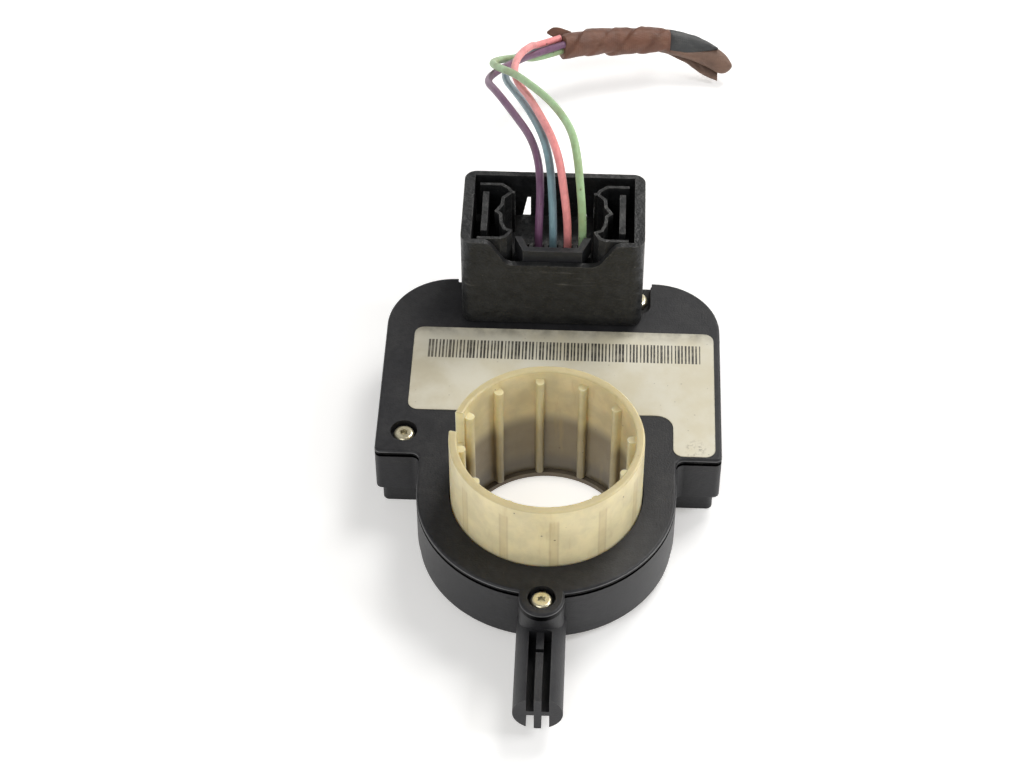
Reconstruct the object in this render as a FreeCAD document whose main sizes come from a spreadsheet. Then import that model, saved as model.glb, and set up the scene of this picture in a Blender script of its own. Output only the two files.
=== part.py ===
"""Steering angle sensor: ring casing, ribbed rotor collar, measuring gears and harness plug.

Row frame: the origin is on the rotor's axis, in the plane that the casing's foot stands on.
+Z runs up along the rotor, +Y towards the plug, and +X to the right seen from the peg.
"""
import FreeCAD, Part
import Sketcher
import math
import os
import re

os.makedirs("parts", exist_ok=True)
doc = FreeCAD.newDocument("steering_angle_sensor")
Vector = FreeCAD.Vector

# Driving dimensions, in millimetres, degrees and counts
SIZES = [
    ("case_width", 83.0, "casing across its shoulders"),
    ("case_near_edge", 10.8, "shoulder edge, from the rotor's axis"),
    ("case_depth", 59.1, "shoulder edge to back edge"),
    ("case_height", 19.5, "foot to top face"),
    ("case_wall", 1.6, "side wall of both mouldings"),
    ("floor_wall", 1.5, "floor of the lower housing"),
    ("back_corner", 16.5, "radius of the back corners"),
    ("near_corner", 1.5, "radius of the shoulder corners"),
    ("inner_corner", 2.0, "fillet where the ring meets the shoulders"),
    ("foot_inset", 1.4, "foot block, inside the casing's outline"),
    ("foot_height", 6.0, "height of the foot block"),
    ("foot_rim", 2.0, "rim of the foot"),
    ("ring_width", 8.0, "rotor collar to the outside of the ring"),
    ("ring_underside", 2.9, "underside of the ring and floor, above the foot"),
    ("ring_band_top", 8.0, "top of the ring's lower band"),
    ("ring_band_step", 0.35, "inset of the ring's lower band"),
    ("cover_height", 3.9, "height of the top cover's skirt and plate"),
    ("cover_plate", 1.5, "thickness of the cover's plate"),
    ("back_notch", 1.5, "notch in the lip's back edge"),
    ("lip_height", 1.3, "lip round the cover's top"),
    ("lip_rounding", 0.6, "rounded edge of the lip"),
    ("groove_height", 0.8, "shadow groove under the lip"),
    ("groove_depth", 0.6, "depth of the shadow groove"),
    ("collar_radius", 22.6, "outside of the rotor collar"),
    ("collar_wall", 2.0, "wall of the rotor collar"),
    ("collar_rim", 38.3, "height of the collar's rim"),
    ("rim_rounding", 0.5, "rounded edges of the rim"),
    ("rib_count", 12, "ribs inside the collar"),
    ("rib_width", 2.0, "width of a rib"),
    ("rib_depth", 1.9, "how far a rib stands in"),
    ("rib_top_gap", 2.5, "rib's top, below the rim"),
    ("rib_foot_gap", 0.6, "rib's foot, above the collar's foot"),
    ("rib_bearing", 96.3, "direction of the first rib, from +X"),
    ("slot_bearing", 169.3, "direction of the drive slot, from +X"),
    ("slot_width", 6.0, "width of the drive slot"),
    ("slot_depth", 10.7, "depth of the drive slot, from the rim"),
    ("running_gap", 0.3, "play round the rotor"),
    ("seat_underside", 1.8, "underside of the seat under the rotor"),
    ("seat_floor", 1.4, "thickness of the seat under the rotor"),
    ("seat_radius", 19.6, "bore of the seat under the rotor"),
    ("guide_wall", 1.3, "wall of the two guide sleeves"),
    ("hub_rim", 1.82, "rotor collar to the roots of its teeth"),
    ("hub_teeth", 43, "teeth on the rotor"),
    ("gear_a_teeth", 15, "teeth on measuring gear A"),
    ("gear_b_teeth", 14, "teeth on measuring gear B"),
    ("gear_face", 3.5, "face width of the gears"),
    ("tooth_backlash", 0.24, "play between meshed teeth"),
    ("gear_spread", 33.0, "each measuring gear's direction, from +Y"),
    ("gear_hub_radius", 4.2, "hub of a measuring gear"),
    ("gear_hub_rise", 0.5, "hub above the teeth"),
    ("post_radius", 1.5, "post that a measuring gear turns on"),
    ("post_play", 0.08, "radial play on the post"),
    ("post_base", 2.6, "shoulder at the post's foot"),
    ("magnet_radius", 3.0, "round magnet"),
    ("magnet_height", 1.6, "thickness of the magnet"),
    ("sensing_gap", 0.5, "magnet to field sensor"),
    ("field_chip", 3.0, "side of a field sensor chip"),
    ("field_chip_height", 0.9, "height of a field sensor chip"),
    ("board_thickness", 1.6, "circuit board"),
    ("board_headroom", 2.5, "circuit board to the cover's plate"),
    ("board_side_gap", 2.4, "circuit board to the side walls"),
    ("board_near", 22.5, "board's near edge, from the rotor's axis"),
    ("board_back_gap", 1.7, "circuit board to the back wall"),
    ("screw_side_inset", 6.7, "shoulder screws, from the casing's sides"),
    ("screw_near_inset", 6.7, "shoulder screws, from the shoulder edge"),
    ("screw_front_reach", 1.1, "front screw, outside the ring"),
    ("screw_back_x", 21.0, "back screw, right of the middle"),
    ("screw_back_inset", 5.0, "back screw, from the back edge"),
    ("screw_head_radius", 2.5, "pan head"),
    ("screw_head_height", 1.6, "pan head"),
    ("screw_shank", 1.25, "shank radius"),
    ("screw_length", 9.0, "shank length"),
    ("screw_recess", 0.62, "inner radius of the six-lobe recess"),
    ("counterbore_radius", 3.25, "recess for a screw head"),
    ("counterbore_depth", 2.3, "recess for a screw head"),
    ("back_recess_reach", 3.0, "back screw's open recess, in front of the screw"),
    ("boss_radius", 5.2, "front screw boss"),
    ("screw_column", 2.7, "screw columns inside the casing"),
    ("peg_radius", 5.7, "anti-rotation peg"),
    ("peg_axis_height", 8.6, "peg's axis, above the foot"),
    ("peg_end", 56.0, "peg's end face, in front of the rotor's axis"),
    ("peg_web", 1.5, "web across the middle of the peg"),
    ("peg_blade", 1.7, "blade up the middle of the peg"),
    ("peg_slot", 1.75, "width of the peg's slots"),
    ("peg_slot_root", 36.9, "where the slots start"),
    ("blade_height", 4.6, "blade above the peg's axis"),
    ("blade_notch", 42.5, "notch in the blade, in front of the rotor's axis"),
    ("plug_width", 44.9, "plug across"),
    ("plug_depth", 26.0, "plug, near face to far face"),
    ("plug_near", 54.4, "plug's near face, from the rotor's axis"),
    ("plug_middle", -0.5, "plug's middle, across"),
    ("plug_height", 27.0, "plug's foot to its rim"),
    ("plug_lift", 0.4, "plug's foot above the casing"),
    ("plug_wall", 1.5, "plug's near and far walls"),
    ("plug_side_wall", 2.6, "plug's side walls"),
    ("plug_corner", 3.0, "plug's upright corners"),
    ("plug_well", 13.5, "depth of the plug's upper well"),
    ("plug_deck", 1.5, "deck between well and socket side"),
    ("mouth_depth", 7.25, "cut-out in the near wall"),
    ("mouth_top", 31.0, "width of the cut-out at the rim"),
    ("mouth_foot", 22.3, "width of the cut-out at its foot"),
    ("mouth_bend", 3.0, "rounded bends of the cut-out"),
    ("window_foot", 16.6, "windows in the far wall, across both at their foot"),
    ("window_top", 13.8, "windows in the far wall, across both at their top"),
    ("window_bar", 12.2, "wall left between the two windows"),
    ("window_rise", 6.45, "windows, above the deck"),
    ("window_sill", 1.0, "windows, below the deck"),
    ("way_pitch", 3.6, "spacing of the plug's terminal ways"),
    ("way_count", 5, "terminal ways"),
    ("way_width", 2.5, "square terminal way"),
    ("way_row", 62.5, "row of ways, from the rotor's axis"),
    ("tower_depth", 5.8, "terminal tower, near to far"),
    ("tower_rise", 4.6, "terminal tower above the deck"),
    ("tower_drop", 8.9, "terminal tower below the deck"),
    ("retainer_rise", 5.0, "retainer above the tower"),
    ("retainer_wall", 1.6, "retainer's plate"),
    ("ramp_width", 1.8, "retainer's slanted ramps"),
    ("ramp_lean", 2.2, "how far a ramp leans outwards"),
    ("spring_wall", 0.8, "side spring walls in the well"),
    ("spring_drop", 0.2, "side spring walls below the rim"),
    ("bar_thickness", 1.5, "upright bars in the well"),
    ("bar_near", 59.3, "near end of the upright bars"),
    ("bar_length", 13.9, "upright bars, near to far"),
    ("bar_drop", 0.3, "upright bars below the rim"),
    ("bar_offset", 16.9, "bars, each side of the plug's middle"),
    ("socket_wall", 1.2, "wall of the casing's socket"),
    ("socket_width", 34.8, "casing's socket across"),
    ("socket_base", 5.0, "floor of the socket above the board"),
    ("socket_headroom", 1.2, "socket's rim to the plug's deck"),
    ("socket_gap", 0.3, "socket to tower, and socket to cover"),
    ("pin_width", 0.64, "square contact pin"),
    ("terminal_width", 1.7, "terminal in a way"),
    ("terminal_length", 10.0, "terminal in a way"),
    ("terminal_depth", 1.0, "terminals, below the tower's top"),
    ("wire_radius", 0.9, "wire over its insulation"),
    ("tape_radius", 3.4, "taped bundle"),
    ("sleeve_radius", 3.0, "dark sleeve"),
    ("tail_radius", 2.4, "tape tail"),
    ("label_thickness", 0.15, "label"),
    ("label_left_inset", 7.1, "label's left edge, from the casing's side"),
    ("label_right_inset", 1.6, "label's right edge, from the casing's side"),
    ("label_near", 24.5, "label's near edge, from the rotor's axis"),
    ("label_far", 52.2, "label's far edge"),
    ("label_leg_width", 10.0, "label's leg on the right shoulder"),
    ("label_leg_near", 11.7, "near end of the label's leg"),
    ("label_corner", 2.4, "label's corners"),
    ("label_inner_corner", 4.0, "label's inner corner"),
]

sheet = doc.addObject("Spreadsheet::Sheet", "Sizes")
for row, (alias, number, meaning) in enumerate(SIZES, start=1):
    sheet.set("A%d" % row, meaning)
    sheet.set("B%d" % row, str(number))
    sheet.setAlias("B%d" % row, alias)
doc.recompute()
ALIASES = {alias for alias, _, _ in SIZES}


def formula(text):
    """Writes a formula over the sheet's names the way the document reads it."""
    return re.sub(r"[a-z][a-z_]+", lambda m: "Sizes." + m[0] if m[0] in ALIASES else m[0], str(text))


def size(text):
    """Value of a formula, as a plain number."""
    value = sheet.evalExpression(formula(text))
    return float(getattr(value, "Value", value))


# Levels and places that several pieces share, each as a formula over the sheet
SEAM = "(case_height - cover_height)"
INNER_FLOOR = "(ring_underside + floor_wall)"
SEAT_TOP = "(seat_underside + seat_floor)"
CEILING = "(case_height - cover_plate)"
BACK_EDGE = "(case_near_edge + case_depth)"
RING = "(collar_radius + ring_width)"
MODULE = "((collar_radius + hub_rim) / (hub_teeth / 2 - 1.15))"
BOARD_TOP = "(%s - board_headroom)" % CEILING
BOARD_FOOT = "(%s - board_thickness)" % BOARD_TOP
BOARD_HALF = "(case_width / 2 - case_wall - board_side_gap)"
BOARD_FAR = "(%s - case_wall - board_back_gap)" % BACK_EDGE
MAGNET_TOP = "(%s - field_chip_height - sensing_gap)" % BOARD_FOOT
HUB_FACE_TOP = "(%s - gear_hub_rise)" % MAGNET_TOP
HUB_FACE_FOOT = "(%s - gear_face)" % HUB_FACE_TOP
PLUG_FOOT = "(case_height + plug_lift)"
PLUG_RIM = "(%s + plug_height)" % PLUG_FOOT
PLUG_FAR = "(plug_near + plug_depth)"
DECK_TOP = "(%s - plug_well)" % PLUG_RIM
DECK_FOOT = "(%s - plug_deck)" % DECK_TOP
TOWER_TOP = "(%s + tower_rise)" % DECK_TOP
TOWER_NEAR = "(way_row - tower_depth / 2)"
TOWER_FAR = "(way_row + tower_depth / 2)"
WIRE_START = "(%s - terminal_depth)" % TOWER_TOP
SOCKET_NEAR = "(%s - socket_gap - socket_wall)" % TOWER_NEAR
SOCKET_FAR = "(%s + socket_gap + socket_wall)" % TOWER_FAR
SOCKET_HALF = "(socket_width / 2)"
SOCKET_RIM = "(%s - socket_headroom)" % DECK_FOOT
LABEL_LEFT = "(label_left_inset - case_width / 2)"
LABEL_RIGHT = "(case_width / 2 - label_right_inset)"
SIDE_SCREW_X = "(case_width / 2 - screw_side_inset)"
SIDE_SCREW_Y = "(case_near_edge + screw_near_inset)"
BACK_SCREW_Y = "(%s - screw_back_inset)" % BACK_EDGE
FRONT_SCREW_Y = "(0 - %s - screw_front_reach)" % RING
SCREW_PLACES = [
    ("left", "(0 - %s)" % SIDE_SCREW_X, SIDE_SCREW_Y),
    ("right", SIDE_SCREW_X, SIDE_SCREW_Y),
    ("back", "screw_back_x", BACK_SCREW_Y),
]
FRONT_SCREW = ("front", "0", FRONT_SCREW_Y)


def turned(radius, sideways, bearing):
    """Formulas for x and y of a point at a radius, moved sideways, in a direction from +X."""
    along = "cos((%s) * 1 deg)" % bearing
    across = "sin((%s) * 1 deg)" % bearing
    return (
        "(%s) * %s - (%s) * %s" % (radius, along, sideways, across),
        "(%s) * %s + (%s) * %s" % (radius, across, sideways, along),
    )


def box(name, low, high):
    """Box between two corners, each given as three formulas."""
    item = doc.addObject("Part::Box", name)
    for side, axis, start, end in zip(("Length", "Width", "Height"), "xyz", low, high):
        item.setExpression(side, formula("(%s) - (%s)" % (end, start)))
        item.setExpression("Placement.Base." + axis, formula(start))
    return item


def cylinder(name, radius, x, y, start, end):
    """Upright cylinder between two heights."""
    item = doc.addObject("Part::Cylinder", name)
    item.setExpression("Radius", formula(radius))
    item.setExpression("Height", formula("(%s) - (%s)" % (end, start)))
    for axis, place in zip("xyz", (x, y, start)):
        item.setExpression("Placement.Base." + axis, formula(place))
    return item


def fused(name, pieces):
    """One moulding from several overlapping forms."""
    item = doc.addObject("Part::MultiFuse", name)
    item.Shapes = pieces
    item.Refine = True
    return item


def cut(name, base, tools):
    """A form less one or more others."""
    if len(tools) > 1:
        tool = doc.addObject("Part::MultiFuse", name + "_tools")
        tool.Shapes = tools
    else:
        tool = tools[0]
    item = doc.addObject("Part::Cut", name)
    item.Base = base
    item.Tool = tool
    item.Refine = True
    return item


def grouped(name, pieces):
    """Separate like pieces that share one node."""
    item = doc.addObject("Part::Compound", name)
    item.Links = pieces
    return item


def origin_plane(body, role):
    """One of a body's own origin planes."""
    return next(f for f in body.Origin.OriginFeatures if f.Role == role)


def new_sketch(body, name, height, role="XY_Plane"):
    """Empty sketch on a body's origin plane, moved along that plane's normal."""
    sketch = body.newObject("Sketcher::SketchObject", name)
    sketch.AttachmentSupport = [(origin_plane(body, role), "")]
    sketch.MapMode = "FlatFace"
    sketch.setExpression("AttachmentOffset.Base.z", formula(height))
    return sketch


def bound(sketch, kind, target, text):
    """Adds one measured constraint whose value is a formula over the sheet."""
    index = sketch.addConstraint(Sketcher.Constraint(kind, *target, size(text)))
    sketch.setExpression("Constraints[%d]" % index, formula(text))


def polygon(sketch, corners):
    """Closed outline of straight lines, each corner placed by two formulas."""
    places = [Vector(size(x), size(y), 0) for x, y in corners]
    lines = [
        sketch.addGeometry(Part.LineSegment(start, end), False)
        for start, end in zip(places, places[1:] + places[:1])
    ]
    for line, following, (x, y) in zip(lines, lines[1:] + lines[:1], corners[1:] + corners[:1]):
        sketch.addConstraint(Sketcher.Constraint("Coincident", line, 2, following, 1))
        bound(sketch, "DistanceX", (-1, 1, following, 1), x)
        bound(sketch, "DistanceY", (-1, 1, following, 1), y)


def circle(sketch, x, y, radius):
    """Circle placed and sized by formulas."""
    shape = Part.Circle(Vector(size(x), size(y), 0), Vector(0, 0, 1), size(radius))
    index = sketch.addGeometry(shape, False)
    bound(sketch, "DistanceX", (-1, 1, index, 3), x)
    bound(sketch, "DistanceY", (-1, 1, index, 3), y)
    bound(sketch, "Radius", (index,), radius)


def pad(body, sketch, length):
    """Adds a prism above a sketch."""
    feature = body.newObject("PartDesign::Pad", sketch.Name + "Pad")
    feature.Profile = sketch
    feature.setExpression("Length", formula(length))
    sketch.Visibility = False
    body.Tip = feature
    return feature


def pocket(body, sketch, length):
    """Removes a prism behind a sketch's normal."""
    feature = body.newObject("PartDesign::Pocket", sketch.Name + "Pocket")
    feature.Profile = sketch
    feature.setExpression("Length", formula(length))
    sketch.Visibility = False
    body.Tip = feature
    return feature


def slab(body, name, corners, start, end):
    """Adds a prism of a straight-sided outline between two heights."""
    sketch = new_sketch(body, name, start)
    polygon(sketch, corners)
    return pad(body, sketch, "(%s) - (%s)" % (end, start))


def hollow(body, name, corners, start, end):
    """Removes a prism of a straight-sided outline between two heights."""
    sketch = new_sketch(body, name, end)
    polygon(sketch, corners)
    return pocket(body, sketch, "(%s) - (%s)" % (end, start))


def disc(body, name, radius, start, end, x="0", y="0", bore=None):
    """Adds a disc, or a tube if it has a bore, between two heights."""
    sketch = new_sketch(body, name, start)
    circle(sketch, x, y, radius)
    if bore:
        circle(sketch, x, y, bore)
    return pad(body, sketch, "(%s) - (%s)" % (end, start))


def bore(body, name, radius, start, end, x="0", y="0"):
    """Removes a round hole between two heights."""
    sketch = new_sketch(body, name, end)
    circle(sketch, x, y, radius)
    return pocket(body, sketch, "(%s) - (%s)" % (end, start))


def rectangle(left, right, near, far):
    """Corners of a rectangle from four formulas."""
    return [(left, near), (right, near), (right, far), (left, far)]


def upright_edges(feature, places, start, end):
    """Names of a feature's upright edges at some places, between two heights."""
    reach = 0.02
    names = []
    for number, edge in enumerate(feature.Shape.Edges, start=1):
        box_of_edge = edge.BoundBox
        flat = max(box_of_edge.XLength, box_of_edge.YLength) < reach
        inside = box_of_edge.ZMin > size(start) - reach and box_of_edge.ZMax < size(end) + reach
        near = any(
            math.hypot(box_of_edge.Center.x - size(x), box_of_edge.Center.y - size(y)) < reach
            for x, y in places
        )
        if flat and inside and near:
            names.append("Edge%d" % number)
    return names


def rounded(body, feature, edges, radius):
    """Rounds named edges of a body's last feature."""
    fillet = body.newObject("PartDesign::Fillet", feature.Name + "Rounding")
    fillet.Base = (feature, edges)
    fillet.setExpression("Radius", formula(radius))
    body.Tip = fillet
    doc.recompute()
    return fillet


def rounded_uprights(body, feature, corners, start, end, radii):
    """Rounds the upright edges at an outline's corners, one radius a corner, 0 for none."""
    for (x, y), radius in zip(corners, radii):
        if radius == "0":
            continue
        doc.recompute()
        feature = rounded(body, feature, upright_edges(feature, [(x, y)], start, end), radius)
    return feature


def casing_outline(inset):
    """Corners of the casing's rectangular part, moved in by an amount."""
    half = "(case_width / 2 - (%s))" % inset
    near = "(case_near_edge + (%s))" % inset
    far = "(%s - (%s))" % (BACK_EDGE, inset)
    return rectangle("(0 - %s)" % half, half, near, far)


def neck_outline(inset, reach):
    """Corners of the straight neck between the ring and the rectangular part."""
    half = "(%s - (%s))" % (RING, inset)
    return rectangle("(0 - %s)" % half, half, "0", reach)


def casing_level(tag, inset, start, end):
    """One level of the casing's whole outline, ring and rectangular part, as one form."""
    corners = casing_outline(inset)
    body = doc.addObject("PartDesign::Body", tag)
    feature = slab(body, tag + "Block", corners, start, end)
    near = "(near_corner)"
    back = "(back_corner - (%s))" % inset
    rounded_uprights(body, feature, corners, start, end, [near, near, back, back])
    disc(body, tag + "Ring", "(%s - (%s))" % (RING, inset), start, end)
    neck = slab(body, tag + "Neck", neck_outline(inset, "(case_near_edge + back_corner)"), start, end)
    doc.recompute()
    half = "(%s - (%s))" % (RING, inset)
    near_line = "(case_near_edge + (%s))" % inset
    corners = [("(0 - %s)" % half, near_line), (half, near_line)]
    rounded(body, neck, upright_edges(neck, corners, start, end), "inner_corner")
    return body


def gear_ring(name, teeth, foot, turn, centre):
    """Toothed disc with involute flanks, thinned for play, as a plain solid.

    Each flank is one arc through three points of the involute. The disc's middle tooth
    points in the direction turn, in degrees from +X.
    """
    module = size(MODULE)
    pressure = math.radians(20)
    pitch_radius = module * teeth / 2
    base_radius = pitch_radius * math.cos(pressure)
    tip_radius = pitch_radius + 0.85 * module
    root_radius = pitch_radius - 1.15 * module
    half_tooth = math.pi / (2 * teeth) - size("tooth_backlash") / 4 / pitch_radius
    flank_start = max(base_radius, root_radius)

    def rolled(radius):
        """Angle of the involute's point at a radius, from its start on the base circle."""
        angle = math.acos(min(1.0, base_radius / radius))
        return math.tan(angle) - angle

    def place(radius, angle):
        return Vector(radius * math.cos(angle), radius * math.sin(angle), 0)

    def flank(centre_angle, side, radius):
        return place(radius, centre_angle + side * (half_tooth + rolled(pitch_radius) - rolled(radius)))

    edges = []
    step = 2 * math.pi / teeth
    for number in range(teeth):
        middle = math.radians(turn) + number * step
        radii = (flank_start, (flank_start + tip_radius) / 2, tip_radius)
        rising = [flank(middle, -1, r) for r in radii]
        falling = [flank(middle, 1, r) for r in reversed(radii)]
        root_in = place(root_radius, math.atan2(rising[0].y, rising[0].x))
        root_out = place(root_radius, math.atan2(falling[2].y, falling[2].x))
        next_rising = flank(middle + step, -1, flank_start)
        next_root = place(root_radius, math.atan2(next_rising.y, next_rising.x))
        if root_radius < flank_start - 1e-6:
            edges.append(Part.LineSegment(root_in, rising[0]).toShape())
        edges.append(Part.Arc(*rising).toShape())
        edges.append(Part.Arc(rising[2], place(tip_radius, middle), falling[0]).toShape())
        edges.append(Part.Arc(*falling).toShape())
        if root_radius < flank_start - 1e-6:
            edges.append(Part.LineSegment(falling[2], root_out).toShape())
        edges.append(Part.Arc(root_out, place(root_radius, middle + step / 2), next_root).toShape())
    outline = Part.Wire(Part.__sortEdges__(edges))
    item = doc.addObject("Part::Feature", name)
    item.Shape = Part.Face(outline).extrude(Vector(0, 0, size("gear_face")))
    item.Placement = FreeCAD.Placement(Vector(centre[0], centre[1], foot), FreeCAD.Rotation())
    return item


# Lower housing: open tray with a ring, a rimmed foot, a rotor seat and the anti-rotation peg
housing_upper = casing_level("HousingUpper", "0", "foot_height", SEAM)

housing = doc.addObject("PartDesign::Body", "HousingFoot")
foot_corners = casing_outline("foot_inset")
foot_block = slab(housing, "FootBlock", foot_corners, "0", "foot_height")
foot_back = "(back_corner - foot_inset)"
foot_radii = ["near_corner", "near_corner", foot_back, foot_back]
rounded_uprights(housing, foot_block, foot_corners, "0", "foot_height", foot_radii)
foot_recess = rectangle(
    "(foot_inset + foot_rim - case_width / 2)",
    "(case_width / 2 - foot_inset - foot_rim)",
    "(case_near_edge + foot_inset + foot_rim)",
    "(%s - foot_inset - foot_rim)" % BACK_EDGE,
)
recess_body = doc.addObject("PartDesign::Body", "FootRecess")
recess = slab(recess_body, "FootRecessSlab", foot_recess, "0", "ring_underside")
recess_back = "(back_corner - foot_inset - foot_rim)"
recess_radii = ["near_corner", "near_corner", recess_back, recess_back]
rounded_uprights(recess_body, recess, foot_recess, "0", "ring_underside", recess_radii)
ring_relief = cylinder("RingRelief", "(%s - ring_band_step)" % RING, "0", "0", "0", "ring_underside")
housing_foot = cut("HousingFootRim", housing, [recess_body, ring_relief])

ring_band = doc.addObject("PartDesign::Body", "RingBand")
disc(ring_band, "RingBandDisc", "(%s - ring_band_step)" % RING, "ring_underside", "ring_band_top")
slab(
    ring_band,
    "RingBandNeck",
    neck_outline("ring_band_step", "(case_near_edge + back_corner)"),
    "ring_underside",
    "ring_band_top",
)
ring_wall = doc.addObject("PartDesign::Body", "RingWall")
disc(ring_wall, "RingWallDisc", RING, "ring_band_top", SEAM)
boss_foot = "(peg_axis_height)"
front_column = doc.addObject("PartDesign::Body", "FrontColumn")
disc(front_column, "FrontColumnDisc", "boss_radius", boss_foot, SEAM, FRONT_SCREW[1], FRONT_SCREW[2])
slab(
    front_column,
    "FrontColumnNeck",
    rectangle("(0 - boss_radius)", "boss_radius", FRONT_SCREW[2], "(2 * case_wall - %s)" % RING),
    boss_foot,
    SEAM,
)

peg_round = doc.addObject("Part::Cylinder", "PegRound")
peg_round.Placement = FreeCAD.Placement(Vector(0, 0, 0), FreeCAD.Rotation(Vector(1, 0, 0), 90))
peg_round.setExpression("Radius", formula("peg_radius"))
peg_round.setExpression("Height", formula("peg_end - %s + case_wall" % RING))
peg_round.setExpression("Placement.Base.y", formula("case_wall - %s" % RING))
peg_round.setExpression("Placement.Base.z", formula("peg_axis_height"))

slot_inner = "(peg_blade / 2)"
slot_outer = "(peg_blade / 2 + peg_slot)"
slot_roof = "(peg_axis_height + peg_radius + 1)"
slot_floor = "(peg_axis_height - peg_radius - 1)"
web_top = "(peg_axis_height + peg_web / 2)"
web_foot = "(peg_axis_height - peg_web / 2)"
slot_front = "(0 - peg_end - 1)"
slot_back = "(0 - peg_slot_root)"
peg_slots = [
    box("PegSlot%d" % number, (left, slot_front, foot), (right, slot_back, top))
    for number, (left, right, foot, top) in enumerate(
        [
            ("(0 - %s)" % slot_outer, "(0 - %s)" % slot_inner, web_top, slot_roof),
            (slot_inner, slot_outer, web_top, slot_roof),
            ("(0 - %s)" % slot_outer, "(0 - %s)" % slot_inner, slot_floor, web_foot),
            (slot_inner, slot_outer, slot_floor, web_foot),
        ]
    )
]
blade_top = "(peg_axis_height + blade_height)"
peg_slots.append(
    box("BladeTrim", ("(0 - %s)" % slot_inner, slot_front, blade_top), (slot_inner, slot_back, slot_roof))
)
peg_slots.append(
    box(
        "BladeNotch",
        ("(0 - %s)" % slot_inner, "(0 - blade_notch)", "(%s - 1.4)" % blade_top),
        (slot_inner, "(0.9 - blade_notch)", slot_roof),
    )
)
peg = cut("Peg", peg_round, peg_slots)

housing_parts = [housing_upper, housing_foot, ring_band, ring_wall, front_column, peg]
housing_solid = fused("HousingSolid", housing_parts)

# Room inside the housing, from the floor to the seam
inner_rect = casing_outline("case_wall")
inner_foot = casing_outline("(foot_inset + case_wall)")
room = doc.addObject("PartDesign::Body", "HousingRoom")
room_upper = slab(room, "RoomUpper", inner_rect, "(foot_height + floor_wall)", "(%s + 1)" % SEAM)
inner_back = "(back_corner - case_wall)"
rounded_uprights(
    room,
    room_upper,
    inner_rect,
    "(foot_height + floor_wall)",
    "(%s + 1)" % SEAM,
    ["near_corner", "near_corner", inner_back, inner_back],
)
room_foot = doc.addObject("PartDesign::Body", "HousingFootRoom")
room_lower = slab(room_foot, "RoomLower", inner_foot, INNER_FLOOR, "(foot_height + floor_wall)")
inner_foot_back = "(back_corner - foot_inset - case_wall)"
rounded_uprights(
    room_foot,
    room_lower,
    inner_foot,
    INNER_FLOOR,
    "(foot_height + floor_wall)",
    ["near_corner", "near_corner", inner_foot_back, inner_foot_back],
)
room_ring = doc.addObject("PartDesign::Body", "HousingRingRoom")
disc(room_ring, "RoomRing", "(%s - case_wall)" % RING, INNER_FLOOR, "(%s + 1)" % SEAM)
slab(
    room_ring,
    "RoomNeck",
    neck_outline("case_wall", "(case_near_edge + back_corner)"),
    INNER_FLOOR,
    "(%s + 1)" % SEAM,
)
housing_tray = cut("HousingTray", housing_solid, [room, room_foot, room_ring])

# Rotor guide, gear posts, screw columns and board pillars that stand on the floor
guide_inner = "(collar_radius + running_gap)"
guide_outer = "(collar_radius + running_gap + guide_wall)"
guide_top = "(%s - running_gap)" % HUB_FACE_FOOT
guide_tube = cylinder("GuideTube", guide_outer, "0", "0", "seat_underside", guide_top)
seat_well = cylinder("SeatWell", guide_inner, "0", "0", SEAT_TOP, SEAM)
seat_bore = cylinder("SeatBore", "seat_radius", "0", "0", "0", SEAM)

GEARS = []
for tag, teeth_alias, side in (("a", "gear_a_teeth", 1), ("b", "gear_b_teeth", -1)):
    bearing = 90 + side * size("gear_spread")
    distance = "(%s * (hub_teeth + %s) / 2)" % (MODULE, teeth_alias)
    place = turned(distance, "0", "90 + %d * gear_spread" % side)
    GEARS.append((tag, teeth_alias, bearing, place))

stands = []
post_top = "(%s - magnet_height - 0.5)" % MAGNET_TOP
shoulder_top = "(%s + 0.6)" % INNER_FLOOR
for tag, teeth_alias, bearing, (x, y) in GEARS:
    stands.append(cylinder("GearPost_" + tag, "post_radius", x, y, "ring_underside", post_top))
    stands.append(cylinder("GearPostFoot_" + tag, "post_base", x, y, "ring_underside", shoulder_top))
for tag, x, y in SCREW_PLACES:
    stands.append(cylinder("ScrewColumn_" + tag, "screw_column", x, y, "ring_underside", SEAM))
pillar_x = "(%s - 4.5)" % BOARD_HALF
for tag, x, y in (
    ("near_left", "(0 - %s)" % pillar_x, "(board_near + 3.5)"),
    ("near_right", pillar_x, "(board_near + 3.5)"),
    ("far_left", "(0 - %s)" % pillar_x, "(%s - 8.5)" % BOARD_FAR),
    ("far_right", pillar_x, "(%s - 8.5)" % BOARD_FAR),
):
    stands.append(cylinder("BoardPillar_" + tag, "1.8", x, y, "ring_underside", BOARD_FOOT))

screw_foot = "(case_height - counterbore_depth - screw_length)"
pilots = [
    cylinder("Pilot_" + tag, "screw_shank", x, y, screw_foot, "(%s + 1)" % SEAM)
    for tag, x, y in SCREW_PLACES + [FRONT_SCREW]
]
housing_fitted = fused("HousingFitted", [housing_tray, guide_tube] + stands)
lower_housing = cut("LowerHousing", housing_fitted, [seat_well, seat_bore] + pilots)

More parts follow.
